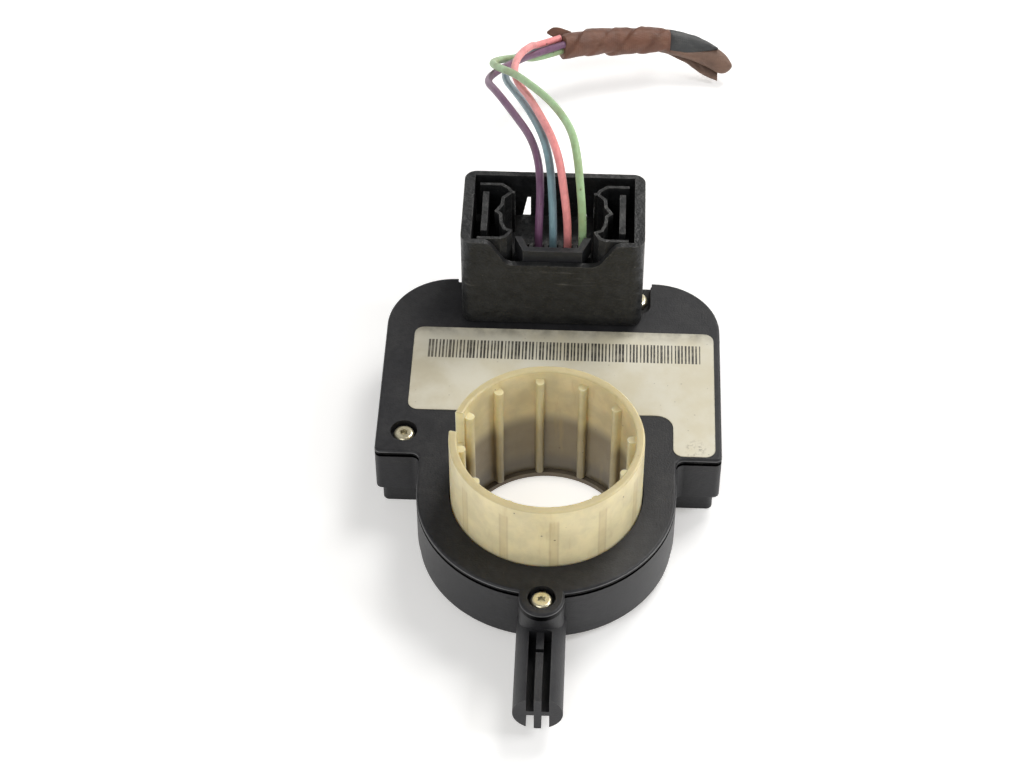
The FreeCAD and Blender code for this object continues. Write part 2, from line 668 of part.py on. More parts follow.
# Top cover: band, grooved neck and lipped plate, with the front boss as one moulding
band_top = "(case_height - lip_height - groove_height)"
lip_foot = "(case_height - lip_height)"
cover_band = casing_level("CoverBand", "0", SEAM, band_top)
cover_neck = casing_level("CoverNeck", "groove_depth", band_top, lip_foot)
cover_plate = casing_level("CoverPlate", "0", lip_foot, "case_height")
cover_boss = doc.addObject("PartDesign::Body", "CoverBoss")
disc(cover_boss, "CoverBossDisc", "boss_radius", SEAM, "case_height", FRONT_SCREW[1], FRONT_SCREW[2])
slab(
    cover_boss,
    "CoverBossNeck",
    rectangle("(0 - boss_radius)", "boss_radius", FRONT_SCREW[2], "(2 * case_wall - %s)" % RING),
    SEAM,
    "case_height",
)
cover_sharp = fused("CoverSharp", [cover_band, cover_neck, cover_plate, cover_boss])
doc.recompute()


def lip_edges(shape):
    """Numbers of the edges round the outside of the top face."""
    top = size("case_height")
    reach = 1e-3
    faces = [
        f
        for f in shape.Faces
        if abs(f.BoundBox.ZMin - top) < reach and abs(f.BoundBox.ZMax - top) < reach
    ]
    widest = max(faces, key=lambda f: f.BoundBox.DiagonalLength)
    outer = widest.OuterWire.Edges
    return [n for n, edge in enumerate(shape.Edges, start=1) if any(edge.isSame(e) for e in outer)]


cover_solid = doc.addObject("Part::Fillet", "CoverSolid")
cover_solid.Base = cover_sharp
lip_radius = size("lip_rounding")
cover_solid.Edges = [(number, lip_radius, lip_radius) for number in lip_edges(cover_sharp.Shape)]

cover_room_inset = "(case_wall + 0.4)"
cover_room = casing_level("CoverRoom", cover_room_inset, "(%s - 1)" % SEAM, CEILING)
cover_hollow = cut("CoverHollow", cover_solid, [cover_room])

column = "(counterbore_radius + 1.1)"
cover_adds = [cylinder("CoverColumn_" + tag, column, x, y, SEAM, CEILING) for tag, x, y in SCREW_PLACES]
recess_floor = "(case_height - counterbore_depth)"
recess_near = "(%s - back_recess_reach)" % BACK_SCREW_Y
shelf_foot = "(%s - 1)" % recess_floor
cover_adds.append(cylinder("RecessShelfEnd", column, "screw_back_x", recess_near, shelf_foot, CEILING))
cover_adds.append(
    box(
        "RecessShelf",
        ("(screw_back_x - %s)" % column, recess_near, shelf_foot),
        ("(screw_back_x + %s)" % column, "(%s - case_wall / 2)" % BACK_EDGE, CEILING),
    )
)
guide_foot = "(%s + running_gap)" % HUB_FACE_TOP
cover_adds.append(cylinder("UpperGuide", guide_outer, "0", "0", guide_foot, "case_height"))
cover_full = fused("CoverFull", [cover_hollow] + cover_adds)

over_cover = "(case_height + 1)"
cover_cuts = [cylinder("CoverBore", guide_inner, "0", "0", "0", over_cover)]
for tag, x, y in SCREW_PLACES + [FRONT_SCREW]:
    counterbore = cylinder("Counterbore_" + tag, "counterbore_radius", x, y, recess_floor, over_cover)
    cover_cuts.append(counterbore)
    cover_cuts.append(cylinder("Clearance_" + tag, "(screw_shank + 0.2)", x, y, "0", over_cover))
window_left = "(plug_middle - %s - socket_gap)" % SOCKET_HALF
window_right = "(plug_middle + %s + socket_gap)" % SOCKET_HALF
cover_cuts.append(
    box(
        "SocketWindow",
        (window_left, "(%s - socket_gap)" % SOCKET_NEAR, "0"),
        (window_right, "(%s + socket_gap)" % SOCKET_FAR, over_cover),
    )
)
cover_cuts.append(
    cylinder("BackRecessEnd", "counterbore_radius", "screw_back_x", recess_near, recess_floor, over_cover)
)
cover_cuts.append(
    box(
        "BackRecess",
        ("(screw_back_x - counterbore_radius)", recess_near, recess_floor),
        ("(screw_back_x + counterbore_radius)", "(%s + 1)" % BACK_EDGE, over_cover),
    )
)
notch_half = "(plug_width / 2 + 2.1)"
cover_cuts.append(
    box(
        "BackNotch",
        ("(plug_middle + 0.5 - %s)" % notch_half, "(%s - back_notch)" % BACK_EDGE, lip_foot),
        ("(plug_middle + 0.5 + %s)" % notch_half, "(%s + 1)" % BACK_EDGE, over_cover),
    )
)
top_cover = cut("TopCover", cover_full, cover_cuts)

# Rotor collar: revolved tube and flange, ribs by pattern, drive slot, and its teeth
collar_foot = "(%s + running_gap)" % SEAT_TOP
collar_inner = "(collar_radius - collar_wall)"
hub_root = "(collar_radius + hub_rim)"
rotor = doc.addObject("PartDesign::Body", "RotorTube")
rotor_profile = new_sketch(rotor, "RotorProfile", "0", "XZ_Plane")
polygon(
    rotor_profile,
    [
        (collar_inner, collar_foot),
        ("collar_radius", collar_foot),
        ("collar_radius", HUB_FACE_FOOT),
        ("(%s + 0.2)" % hub_root, HUB_FACE_FOOT),
        ("(%s + 0.2)" % hub_root, HUB_FACE_TOP),
        ("collar_radius", HUB_FACE_TOP),
        ("collar_radius", "collar_rim"),
        (collar_inner, "collar_rim"),
    ],
)
rotor_tube = rotor.newObject("PartDesign::Revolution", "RotorRevolution")
rotor_tube.Profile = rotor_profile
rotor_tube.ReferenceAxis = (next(f for f in rotor.Origin.OriginFeatures if f.Role == "Z_Axis"), [""])
rotor_tube.Angle = 360
rotor_profile.Visibility = False
rotor.Tip = rotor_tube
doc.recompute()
rim_edges = [
    "Edge%d" % number
    for number, edge in enumerate(rotor_tube.Shape.Edges, start=1)
    if edge.BoundBox.ZLength < 1e-3 and abs(edge.BoundBox.ZMin - size("collar_rim")) < 1e-3
]
rounded(rotor, rotor_tube, rim_edges, "rim_rounding")

rib_tip_radius = "(collar_radius - collar_wall - rib_depth)"
rib_start = "(%s + rib_foot_gap)" % collar_foot
rib_end = "(collar_rim - rib_top_gap)"
rib_body_inner = "(%s + rib_width / 2)" % rib_tip_radius
rib_body_outer = "(collar_radius - collar_wall / 2)"
rib_flank = slab(
    rotor,
    "RibFlank",
    [
        turned(rib_body_inner, "0 - rib_width / 2", "rib_bearing"),
        turned(rib_body_outer, "0 - rib_width / 2", "rib_bearing"),
        turned(rib_body_outer, "rib_width / 2", "rib_bearing"),
        turned(rib_body_inner, "rib_width / 2", "rib_bearing"),
    ],
    rib_start,
    rib_end,
)
rib_x, rib_y = turned(rib_body_inner, "0", "rib_bearing")
rib_nose = disc(rotor, "RibNose", "(rib_width / 2)", rib_start, rib_end, rib_x, rib_y)
doc.recompute()
ribs = rotor.newObject("PartDesign::PolarPattern", "Ribs")
ribs.Originals = [rib_flank, rib_nose]
ribs.Axis = (next(f for f in rotor.Origin.OriginFeatures if f.Role == "Z_Axis"), [""])
ribs.Angle = 360
ribs.setExpression("Occurrences", formula("rib_count"))
rotor.Tip = ribs
doc.recompute()
slot_radius_in = "(collar_radius - collar_wall - 1)"
slot_radius_out = "(collar_radius + 1)"
hollow(
    rotor,
    "DriveSlot",
    [
        turned(slot_radius_in, "0 - slot_width / 2", "slot_bearing"),
        turned(slot_radius_out, "0 - slot_width / 2", "slot_bearing"),
        turned(slot_radius_out, "slot_width / 2", "slot_bearing"),
        turned(slot_radius_in, "slot_width / 2", "slot_bearing"),
    ],
    "(collar_rim - slot_depth)",
    "(collar_rim + 1)",
)
hub_disc = gear_ring("RotorTeethDisc", int(size("hub_teeth")), size(HUB_FACE_FOOT), 0, (0, 0))
hub_opening = cylinder("RotorTeethBore", "collar_radius", "0", "0", "0", "collar_rim")
rotor_teeth = cut("RotorTeeth", hub_disc, [hub_opening])
rotor_collar = fused("RotorCollar", [rotor, rotor_teeth])

# Measuring gears, each with a tooth gap where the rotor's tooth meets it
hub_pitch = 360 / size("hub_teeth")
measuring_gears = []
magnets = []
field_chips = []
for tag, teeth_alias, bearing, (x, y) in GEARS:
    teeth = int(size(teeth_alias))
    phase = (bearing % hub_pitch) * size("hub_teeth") / teeth
    turn = bearing + 180 + phase + 180 / teeth
    blank = gear_ring("GearBlank_" + tag, teeth, size(HUB_FACE_FOOT), turn, (size(x), size(y)))
    hub_start = "(%s + 0.9)" % INNER_FLOOR
    hub = cylinder("GearHub_" + tag, "gear_hub_radius", x, y, hub_start, MAGNET_TOP)
    gear = fused("GearSolid_" + tag, [blank, hub])
    magnet_foot = "(%s - magnet_height)" % MAGNET_TOP
    bore_radius = "(post_radius + post_play)"
    gear_bore = cylinder("GearBore_" + tag, bore_radius, x, y, "0", "(%s - 0.3)" % magnet_foot)
    over_magnet = "(%s + 1)" % MAGNET_TOP
    gear_pocket = cylinder("MagnetPocket_" + tag, "magnet_radius", x, y, magnet_foot, over_magnet)
    measuring_gears.append(cut("MeasuringGear_" + tag, gear, [gear_bore, gear_pocket]))
    magnets.append(cylinder("Magnet_" + tag, "magnet_radius", x, y, magnet_foot, MAGNET_TOP))
    chip_foot = "(%s + sensing_gap)" % MAGNET_TOP
    field_chips.append(
        box(
            "FieldChip_" + tag,
            ("(%s) - field_chip / 2" % x, "(%s) - field_chip / 2" % y, chip_foot),
            ("(%s) + field_chip / 2" % x, "(%s) + field_chip / 2" % y, BOARD_FOOT),
        )
    )
field_sensor_chips = grouped("FieldSensorChips", field_chips)

# Circuit board, cut round the rotor and the back screw, with its parts on top
board_blank = box(
    "BoardBlank",
    ("(0 - %s)" % BOARD_HALF, "board_near", BOARD_FOOT),
    (BOARD_HALF, BOARD_FAR, BOARD_TOP),
)
column_clearance = "(screw_column + 0.4)"
board_cuts = [
    cylinder("BoardRotorClearance", "(%s + 0.8)" % guide_outer, "0", "0", "0", "case_height"),
    cylinder("BoardScrewClearance", column_clearance, "screw_back_x", BACK_SCREW_Y, "0", "case_height"),
]
for side, sign in (("Left", "0 - 1"), ("Right", "1")):
    corner_x = "(%s) * %s" % (sign, BOARD_HALF)
    board_cuts.append(
        cylinder("BoardCorner" + side, "10", corner_x, "(%s + 2)" % BOARD_FAR, "0", "case_height")
    )
circuit_board = cut("CircuitBoard", board_blank, board_cuts)


def chip(name, x, y, width, depth, height):
    """Part on top of the board, by its middle and its size."""
    low = ("%g - %g" % (x, width / 2), "%g - %g" % (y, depth / 2), BOARD_TOP)
    high = ("%g + %g" % (x, width / 2), "%g + %g" % (y, depth / 2), "(%s + %g)" % (BOARD_TOP, height))
    return box(name, low, high)


microcontroller = chip("Microcontroller", -21.5, 43.5, 10.0, 10.0, 1.4)
bus_transceiver = chip("BusTransceiver", 21.0, 41.0, 5.0, 6.0, 1.5)
quartz_crystal = chip("QuartzCrystal", -8.5, 42.0, 5.0, 3.2, 1.1)
voltage_regulator = chip("VoltageRegulator", 21.0, 51.5, 6.5, 3.6, 1.6)
chip_capacitors = grouped(
    "ChipCapacitors", [chip("Capacitor%d" % n, -2.0 + 4.2 * n, 49.0, 2.0, 1.25, 1.2) for n in range(5)]
)
chip_resistors = grouped(
    "ChipResistors", [chip("Resistor%d" % n, -2.0 + 3.4 * n, 44.0, 1.6, 0.8, 0.5) for n in range(6)]
)

# Socket on the board that the plug fits, with its contact pins
socket_left = "(plug_middle - %s)" % SOCKET_HALF
socket_right = "(plug_middle + %s)" % SOCKET_HALF
socket_body = doc.addObject("PartDesign::Body", "SocketBody")
slab(
    socket_body,
    "SocketBlock",
    rectangle(socket_left, socket_right, SOCKET_NEAR, SOCKET_FAR),
    BOARD_TOP,
    SOCKET_RIM,
)
hollow(
    socket_body,
    "SocketWell",
    rectangle(
        "(%s + socket_wall)" % socket_left,
        "(%s - socket_wall)" % socket_right,
        "(%s + socket_wall)" % SOCKET_NEAR,
        "(%s - socket_wall)" % SOCKET_FAR,
    ),
    "(%s + socket_base)" % BOARD_TOP,
    SOCKET_RIM,
)
way_places = [
    "(plug_middle + (%d - (way_count - 1) / 2) * way_pitch)" % number
    for number in range(int(size("way_count")))
]
pin_top = "(%s - terminal_length)" % WIRE_START
pins = []
pin_holes = []
for number, x in enumerate(way_places):
    low = ("%s - pin_width / 2" % x, "way_row - pin_width / 2", BOARD_TOP)
    high = ("%s + pin_width / 2" % x, "way_row + pin_width / 2", pin_top)
    pins.append(box("Pin%d" % number, low, high))
    pin_holes.append(box("PinHole%d" % number, low, high))
contact_pins = grouped("ContactPins", pins)
board_socket = cut("BoardSocket", socket_body, pin_holes)

# Plug housing: outer shell, deck, terminal tower, side springs, bars, mouth and window
plug_left = "(plug_middle - plug_width / 2)"
plug_right = "(plug_middle + plug_width / 2)"
plug = doc.addObject("PartDesign::Body", "PlugShell")
plug_corners = rectangle(plug_left, plug_right, "plug_near", PLUG_FAR)
plug_block = slab(plug, "PlugBlock", plug_corners, PLUG_FOOT, PLUG_RIM)
rounded_uprights(plug, plug_block, plug_corners, PLUG_FOOT, PLUG_RIM, ["plug_corner"] * 4)
well_corners = rectangle(
    "(%s + plug_side_wall)" % plug_left,
    "(%s - plug_side_wall)" % plug_right,
    "(plug_near + plug_wall)",
    "(%s - plug_wall)" % PLUG_FAR,
)
hollow(plug, "PlugWell", well_corners, DECK_TOP, PLUG_RIM)
socket_side = rectangle(
    "(%s - socket_gap)" % socket_left,
    "(%s + socket_gap)" % socket_right,
    "(plug_near + plug_wall)",
    "(%s - plug_wall)" % PLUG_FAR,
)
hollow(plug, "PlugSocketSide", socket_side, PLUG_FOOT, DECK_FOOT)


def wall_opening(body, name, near_face, depth, corners):
    """Removes a prism that runs along +Y from a near face, its outline in x and z."""
    sketch = new_sketch(body, name, "(0 - (%s))" % near_face, "XZ_Plane")
    polygon(sketch, corners)
    return pocket(body, sketch, depth)


mouth_foot_height = "(%s - mouth_depth)" % PLUG_RIM
mouth = wall_opening(
    plug,
    "Mouth",
    "plug_near",
    "(plug_wall + 0.2)",
    [
        ("(plug_middle - mouth_foot / 2)", mouth_foot_height),
        ("(plug_middle + mouth_foot / 2)", mouth_foot_height),
        ("(plug_middle + mouth_top / 2)", PLUG_RIM),
        ("(plug_middle - mouth_top / 2)", PLUG_RIM),
    ],
)
doc.recompute()
mouth_bends = [
    "Edge%d" % number
    for number, edge in enumerate(mouth.Shape.Edges, start=1)
    if edge.BoundBox.ZLength < 1e-3
    and edge.BoundBox.XLength < 1e-3
    and edge.BoundBox.YMax < size("plug_near + plug_wall + 0.5")
    and any(
        abs(abs(edge.BoundBox.XMin - size("plug_middle")) - size(half)) < 0.02
        and abs(edge.BoundBox.ZMin - size(height)) < 0.02
        for half, height in (("mouth_foot / 2", mouth_foot_height), ("mouth_top / 2", PLUG_RIM))
    )
]
rounded(plug, mouth, mouth_bends, "mouth_bend")
for side, sign in (("Left", "0 - 1"), ("Right", "1")):
    bar_side = "(plug_middle + (%s) * window_bar / 2)" % sign
    wall_opening(
        plug,
        "FarWindow" + side,
        "(%s - plug_wall - 0.2)" % PLUG_FAR,
        "(plug_wall + 1)",
        [
            ("(plug_middle + (%s) * window_foot / 2)" % sign, "(%s - window_sill)" % DECK_TOP),
            (bar_side, "(%s - window_sill)" % DECK_TOP),
            (bar_side, "(%s + window_rise)" % DECK_TOP),
            ("(plug_middle + (%s) * window_top / 2)" % sign, "(%s + window_rise)" % DECK_TOP),
        ],
    )
tower_half = "(way_count * way_pitch / 2 + 0.4)"
tower_left = "(plug_middle - %s)" % tower_half
tower_right = "(plug_middle + %s)" % tower_half
tower_corners = rectangle(tower_left, tower_right, TOWER_NEAR, TOWER_FAR)
slab(plug, "Tower", tower_corners, "(%s - tower_drop)" % DECK_FOOT, TOWER_TOP)


def ribbon(name, points, thickness, start, end):
    """Thin upright wall along a line of points in plan, mitred at its bends."""
    places = [Vector(x, y, start) for x, y in points]
    runs = [(after - before).normalize() for before, after in zip(places, places[1:])]
    left = []
    right = []
    for place, before, after in zip(places, runs[:1] + runs, runs + runs[-1:]):
        heading = (before + after).normalize()
        sideways = Vector(-heading.y, heading.x, 0) * (thickness / 2 / heading.dot(before))
        left.append(place + sideways)
        right.insert(0, place - sideways)
    outline = Part.makePolygon(left + right + left[:1])
    item = doc.addObject("Part::Feature", name)
    item.Shape = Part.Face(outline).extrude(Vector(0, 0, end - start))
    return item


spring_top = size("%s - spring_drop" % PLUG_RIM)
deck_top = size(DECK_TOP)
middle = size("plug_middle")
# Side spring walls in plan: distance out from the plug's middle, and distance from the rotor's axis
SPRING_ARM_FAR = [(18.5, 75.9), (13.1, 75.9), (11.3, 74.4), (10.6, 73.2), (9.8, 73.1)]
SPRING_WALL = [
    (10.9, 72.9),
    (12.6, 71.1),
    (12.8, 68.5),
    (14.1, 66.3),
    (13.0, 65.2),
    (12.8, 62.4),
    (11.9, 60.1),
    (10.1, 59.3),
]
SPRING_ARM_NEAR = [(10.5, 59.0), (11.5, 57.4), (12.9, 56.7), (18.4, 56.7)]
plug_additions = []
for side, sign in (("Left", -1), ("Right", 1)):
    for tag, steps in (("ArmFar", SPRING_ARM_FAR), ("Spring", SPRING_WALL), ("ArmNear", SPRING_ARM_NEAR)):
        points = [(middle + sign * out, along) for out, along in steps]
        plug_additions.append(ribbon(tag + side, points, size("spring_wall"), deck_top - 0.5, spring_top))
    bar_middle = "(plug_middle + (%d) * bar_offset)" % sign
    bar_low = ("%s - bar_thickness / 2" % bar_middle, "bar_near", "(%s - 0.5)" % DECK_TOP)
    bar_high = (
        "%s + bar_thickness / 2" % bar_middle,
        "(bar_near + bar_length)",
        "(%s - bar_drop)" % PLUG_RIM,
    )
    plug_additions.append(box("Bar" + side, bar_low, bar_high))
plug_fused = fused("PlugFused", [plug] + plug_additions)
ways = [
    box(
        "Way%d" % number,
        ("%s - way_width / 2" % x, "way_row - way_width / 2", "0"),
        ("%s + way_width / 2" % x, "way_row + way_width / 2", "(%s + 1)" % TOWER_TOP),
    )
    for number, x in enumerate(way_places)
]
plug_housing = cut("PlugHousing", plug_fused, ways)

# Retainer in front of the tower, with its two slanted ramps
retainer_near = "(plug_near + plug_wall + 0.2)"
retainer_top = "(%s + retainer_rise)" % TOWER_TOP
retainer_plate = box(
    "RetainerPlate",
    ("(plug_middle - 2 * way_pitch)", retainer_near, DECK_TOP),
    ("(plug_middle + 2 * way_pitch)", "(%s + retainer_wall)" % retainer_near, retainer_top),
)
ramps = []
for side, sign in (("Left", "0 - 1"), ("Right", "1")):
    ramp = doc.addObject("PartDesign::Body", "Ramp" + side)
    ramp_in = "(plug_middle + (%s) * (2 * way_pitch - ramp_width))" % sign
    ramp_out = "(plug_middle + (%s) * 2 * way_pitch)" % sign
    shift = "(%s) * ramp_lean" % sign
    corners = [
        (ramp_in, retainer_near),
        (ramp_out, retainer_near),
        ("(%s + %s)" % (ramp_out, shift), "(way_row - way_width / 2)"),
        ("(%s + %s)" % (ramp_in, shift), "(way_row - way_width / 2)"),
    ]
    slab(ramp, "RampSlab" + side, corners, "(%s + 0.1)" % TOWER_TOP, retainer_top)
    ramps.append(ramp)
plug_retainer = fused("PlugRetainer", [retainer_plate] + ramps)

# Terminals, one a wired way
WIRES = [
    (
        "wire_purple",
        [
            (-4.1, 62.5, 44.5),
            (-3.8, 66.3, 51.5),
            (-4.3, 73.5, 55.6),
            (-6.6, 85.0, 54.0),
            (-11.5, 98.6, 49.9),
            (-16.8, 111.4, 46.6),
            (-20.0, 122.4, 40.5),
            (-18.0, 133.0, 34.9),
            (-12.5, 149.0, 25.8),
            (-7.4, 162.4, 17.5),
            (-0.3, 167.4, 16.6),
        ],
    ),
    (
        "wire_blue",
        [
            (-0.5, 62.5, 44.8),
            (-0.9, 65.6, 53.0),
            (-1.7, 71.6, 58.1),
            (-3.5, 81.8, 57.2),
            (-7.2, 98.5, 50.5),
            (-11.7, 116.7, 41.5),
            (-16.0, 135.0, 31.0),
            (-15.5, 153.7, 21.2),
            (-11.1, 163.7, 16.6),
            (-5.8, 167.3, 15.6),
            (-2.1, 169.8, 15.1),
        ],
    ),
    (
        "wire_pink",
        [
            (3.1, 62.5, 45.5),
            (2.1, 64.4, 54.4),
            (0.7, 70.2, 60.2),
            (-1.6, 79.5, 59.8),
            (-4.4, 90.0, 56.6),
            (-7.9, 104.6, 50.5),
            (-11.6, 115.8, 45.9),
            (-13.0, 127.6, 41.1),
            (-11.7, 139.0, 36.5),
            (-8.5, 152.5, 28.5),
            (-9.0, 164.4, 18.0),
            (-1.6, 169.5, 17.1),
        ],
    ),
    (
        "wire_green",
        [
            (6.7, 62.5, 46.5),
            (6.0, 64.0, 56.2),
            (5.0, 69.4, 62.2),
            (3.6, 78.0, 62.2),
            (1.0, 87.5, 59.4),
            (-2.9, 97.4, 56.3),
            (-7.8, 106.8, 52.9),
            (-12.5, 117.1, 47.9),
            (-17.4, 126.9, 41.6),
            (-19.3, 135.2, 36.2),
            (-16.6, 145.9, 28.6),
            (-12.0, 156.3, 20.7),
            (-8.0, 162.5, 15.2),
            (-0.7, 167.7, 14.3),
        ],
    ),
]
TAPE_ROUTE = [(-1.2, 168.6, 15.6), (5.3, 173.16, 14.8), (17.0, 176.8, 13.2), (29.4, 177.6, 11.4)]
SLEEVE_ROUTE = [(29.4, 177.6, 11.4), (34.5, 177.93, 10.66), (39.4, 177.2, 9.4)]
TAIL_ROUTE = [(39.4, 177.2, 9.4), (43.3, 176.62, 8.4), (46.9, 174.0, 6.4)]


def tube(name, points, radius):
    """Round tube along straight runs joined by tangent arcs; prints the radii and the volume."""
    places = [Vector(*point) for point in points]
    edges = []
    last = places[0]
    radii = []
    for before, here, after in zip(places, places[1:], places[2:]):
        to_before = (before - here).normalize()
        to_after = (after - here).normalize()
        half_turn = (math.pi - to_before.getAngle(to_after)) / 2
        setback = 0.45 * min(before.distanceToPoint(here), after.distanceToPoint(here))
        bend_radius = setback / math.tan(half_turn)
        radii.append(bend_radius)
        start = here + to_before * setback
        end = here + to_after * setback
        inward = (to_before + to_after).normalize()
        centre = here + inward * math.hypot(bend_radius, setback)
        crown = centre - inward * bend_radius
        edges.append(Part.LineSegment(last, start).toShape())
        edges.append(Part.Arc(start, crown, end).toShape())
        last = end
    edges.append(Part.LineSegment(last, places[-1]).toShape())
    spine = Part.Wire(edges)
    first_direction = (places[1] - places[0]).normalize()
    section = Part.Wire([Part.makeCircle(radius, places[0], first_direction)])
    item = doc.addObject("Part::Feature", name)
    item.Shape = spine.makePipeShell([section], True, False)
    expected = math.pi * radius**2 * spine.Length
    print(
        "%s: length %.1f, tightest radius %.1f, volume over section times length %.4f"
        % (name, spine.Length, min(radii), item.Shape.Volume / expected)
    )
    return item


terminals = []
wires = []
for way, (name, route) in zip(way_places[1:], WIRES):
    half = "terminal_width / 2"
    terminals.append(
        box(
            "Terminal_" + name,
            ("%s - %s" % (way, half), "way_row - %s" % half, pin_top),
            ("%s + %s" % (way, half), "way_row + %s" % half, WIRE_START),
        )
    )
    start = (size(way), size("way_row"), size(WIRE_START))
    wires.append((name, tube(name, [start] + route, size("wire_radius"))))
wire_terminals = grouped("WireTerminals", terminals)
tape_wrap = tube("TapeWrap", TAPE_ROUTE, size("tape_radius"))
cable_sleeve = tube("CableSleeve", SLEEVE_ROUTE, size("sleeve_radius"))
tape_tail = tube("TapeTail", TAIL_ROUTE, size("tail_radius"))

# Cover screws: pan head with a six-lobe recess, four alike
screw = doc.addObject("PartDesign::Body", "ScrewBody")
screw_seat = "(case_height - counterbore_depth)"
screw_top = "(%s + screw_head_height)" % screw_seat
disc(screw, "ScrewShank", "screw_shank", screw_foot, screw_seat)
head = disc(screw, "ScrewHead", "screw_head_radius", screw_seat, screw_top)
doc.recompute()
head_edges = [
    "Edge%d" % number
    for number, edge in enumerate(head.Shape.Edges, start=1)
    if edge.BoundBox.ZLength < 1e-3 and abs(edge.BoundBox.ZMin - size(screw_top)) < 1e-3
]
rounded(screw, head, head_edges, "(0.5 * screw_head_height)")
bore(screw, "RecessCore", "(screw_recess + 0.15)", "(%s - 0.9)" % screw_top, screw_top)
lobe_x, lobe_y = turned("(screw_recess + 0.1)", "0", "90")
lobe = bore(screw, "RecessLobe", "0.3", "(%s - 0.9)" % screw_top, screw_top, lobe_x, lobe_y)
doc.recompute()
lobes = screw.newObject("PartDesign::PolarPattern", "RecessLobes")
lobes.Originals = [lobe]
lobes.Axis = (next(f for f in screw.Origin.OriginFeatures if f.Role == "Z_Axis"), [""])
lobes.Angle = 360
lobes.Occurrences = 6
screw.Tip = lobes
doc.recompute()
cover_screws = doc.addObject("Part::Feature", "CoverScrews")
cover_screws.Shape = Part.makeCompound(
    [screw.Shape.translated(Vector(size(x), size(y), 0)) for _, x, y in SCREW_PLACES + [FRONT_SCREW]]
)

# Label on the top face, with a leg on the right shoulder
label = doc.addObject("PartDesign::Body", "LabelBody")
label_top = "(case_height + label_thickness)"
label_main = rectangle(LABEL_LEFT, LABEL_RIGHT, "label_near", "label_far")
label_pad = slab(label, "LabelMain", label_main, "case_height", label_top)
label_radii = ["label_corner", "0", "label_corner", "label_corner"]
rounded_uprights(label, label_pad, label_main, "case_height", label_top, label_radii)
leg_left = "(%s - label_leg_width)" % LABEL_RIGHT
label_leg = rectangle(leg_left, LABEL_RIGHT, "label_leg_near", "(label_near + label_corner)")
leg_pad = slab(label, "LabelLeg", label_leg, "case_height", label_top)
doc.recompute()
leg_pad = rounded_uprights(
    label, leg_pad, label_leg, "case_height", label_top, ["label_corner", "label_corner", "0", "0"]
)
inner_edge = upright_edges(leg_pad, [(leg_left, "label_near")], "case_height", label_top)
rounded(label, leg_pad, inner_edge, "label_inner_corner")

NODES = [
    ("top_cover", top_cover),
    ("lower_housing", lower_housing),
    ("rotor_collar", rotor_collar),
    ("measuring_gear_a", measuring_gears[0]),
    ("measuring_gear_b", measuring_gears[1]),
    ("magnet_a", magnets[0]),
    ("magnet_b", magnets[1]),
    ("circuit_board", circuit_board),
    ("field_sensor_chips", field_sensor_chips),
    ("microcontroller", microcontroller),
    ("bus_transceiver", bus_transceiver),
    ("quartz_crystal", quartz_crystal),
    ("voltage_regulator", voltage_regulator),
    ("chip_capacitors", chip_capacitors),
    ("chip_resistors", chip_resistors),
    ("board_socket", board_socket),
    ("contact_pins", contact_pins),
    ("plug_housing", plug_housing),
    ("plug_retainer", plug_retainer),
    ("wire_terminals", wire_terminals),
    ("tape_wrap", tape_wrap),
    ("cable_sleeve", cable_sleeve),
    ("tape_tail", tape_tail),
    ("cover_screws", cover_screws),
    ("type_label", label),
] + wires

doc.recompute()
for item in doc.Objects:
    if "Invalid" in item.State or "Error" in item.State:
        raise RuntimeError("%s did not build: %s" % (item.Name, item.State))
for node, item in NODES:
    item.Label = node
    shape = item.Shape
    if shape.isNull() or not shape.isValid() or not shape.Solids:
        raise RuntimeError("%s has no valid solid" % node)
    shape.exportStep("parts/%s.step" % node)
    print("%s: %d solid(s), %.0f cubic mm" % (node, len(shape.Solids), shape.Volume))
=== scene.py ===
"""Steering angle sensor: finishes, wires, cloth tape and a plain studio.

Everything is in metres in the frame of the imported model: the origin is on the
collar's axis in the plane of the casing's foot, +Z is up and +Y runs from the ring
towards the plug.
"""

import logging
import math
from collections.abc import Callable, Mapping, Sequence
from dataclasses import dataclass, field
from enum import Enum
from functools import cached_property, partial, reduce

import bmesh
import bpy
from mathutils import Matrix, Vector, noise


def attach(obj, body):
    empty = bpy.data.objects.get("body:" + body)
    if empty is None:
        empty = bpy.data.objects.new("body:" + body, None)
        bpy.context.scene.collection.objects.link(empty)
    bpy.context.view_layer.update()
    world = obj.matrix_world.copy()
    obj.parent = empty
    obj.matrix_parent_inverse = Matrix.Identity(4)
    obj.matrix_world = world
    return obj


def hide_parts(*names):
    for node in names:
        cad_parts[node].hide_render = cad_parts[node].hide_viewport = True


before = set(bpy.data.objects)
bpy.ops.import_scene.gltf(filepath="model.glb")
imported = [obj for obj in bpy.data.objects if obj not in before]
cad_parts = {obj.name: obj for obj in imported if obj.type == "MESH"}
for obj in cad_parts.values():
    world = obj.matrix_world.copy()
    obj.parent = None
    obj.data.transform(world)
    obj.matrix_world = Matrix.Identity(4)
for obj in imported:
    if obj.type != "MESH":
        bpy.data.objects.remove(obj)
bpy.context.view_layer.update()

Colour = tuple[float, float, float]
Point = tuple[float, float, float]
Socket = bpy.types.NodeSocket
Sockets = Mapping[str, Socket]
Value = float | Socket

MM = 0.001
WAVE_TURN = 6.28
FRAME_WIDTH = 1024
LOG = logging.getLogger("angle_sensor")


def srgb(*levels: int) -> Colour:
    """Turn a screen colour, each part from 0 to 255, into the linear one that shaders take."""
    parts = [level / 255 for level in levels]
    return tuple(x / 12.92 if x <= 0.04045 else ((x + 0.055) / 1.055) ** 2.4 for x in parts)


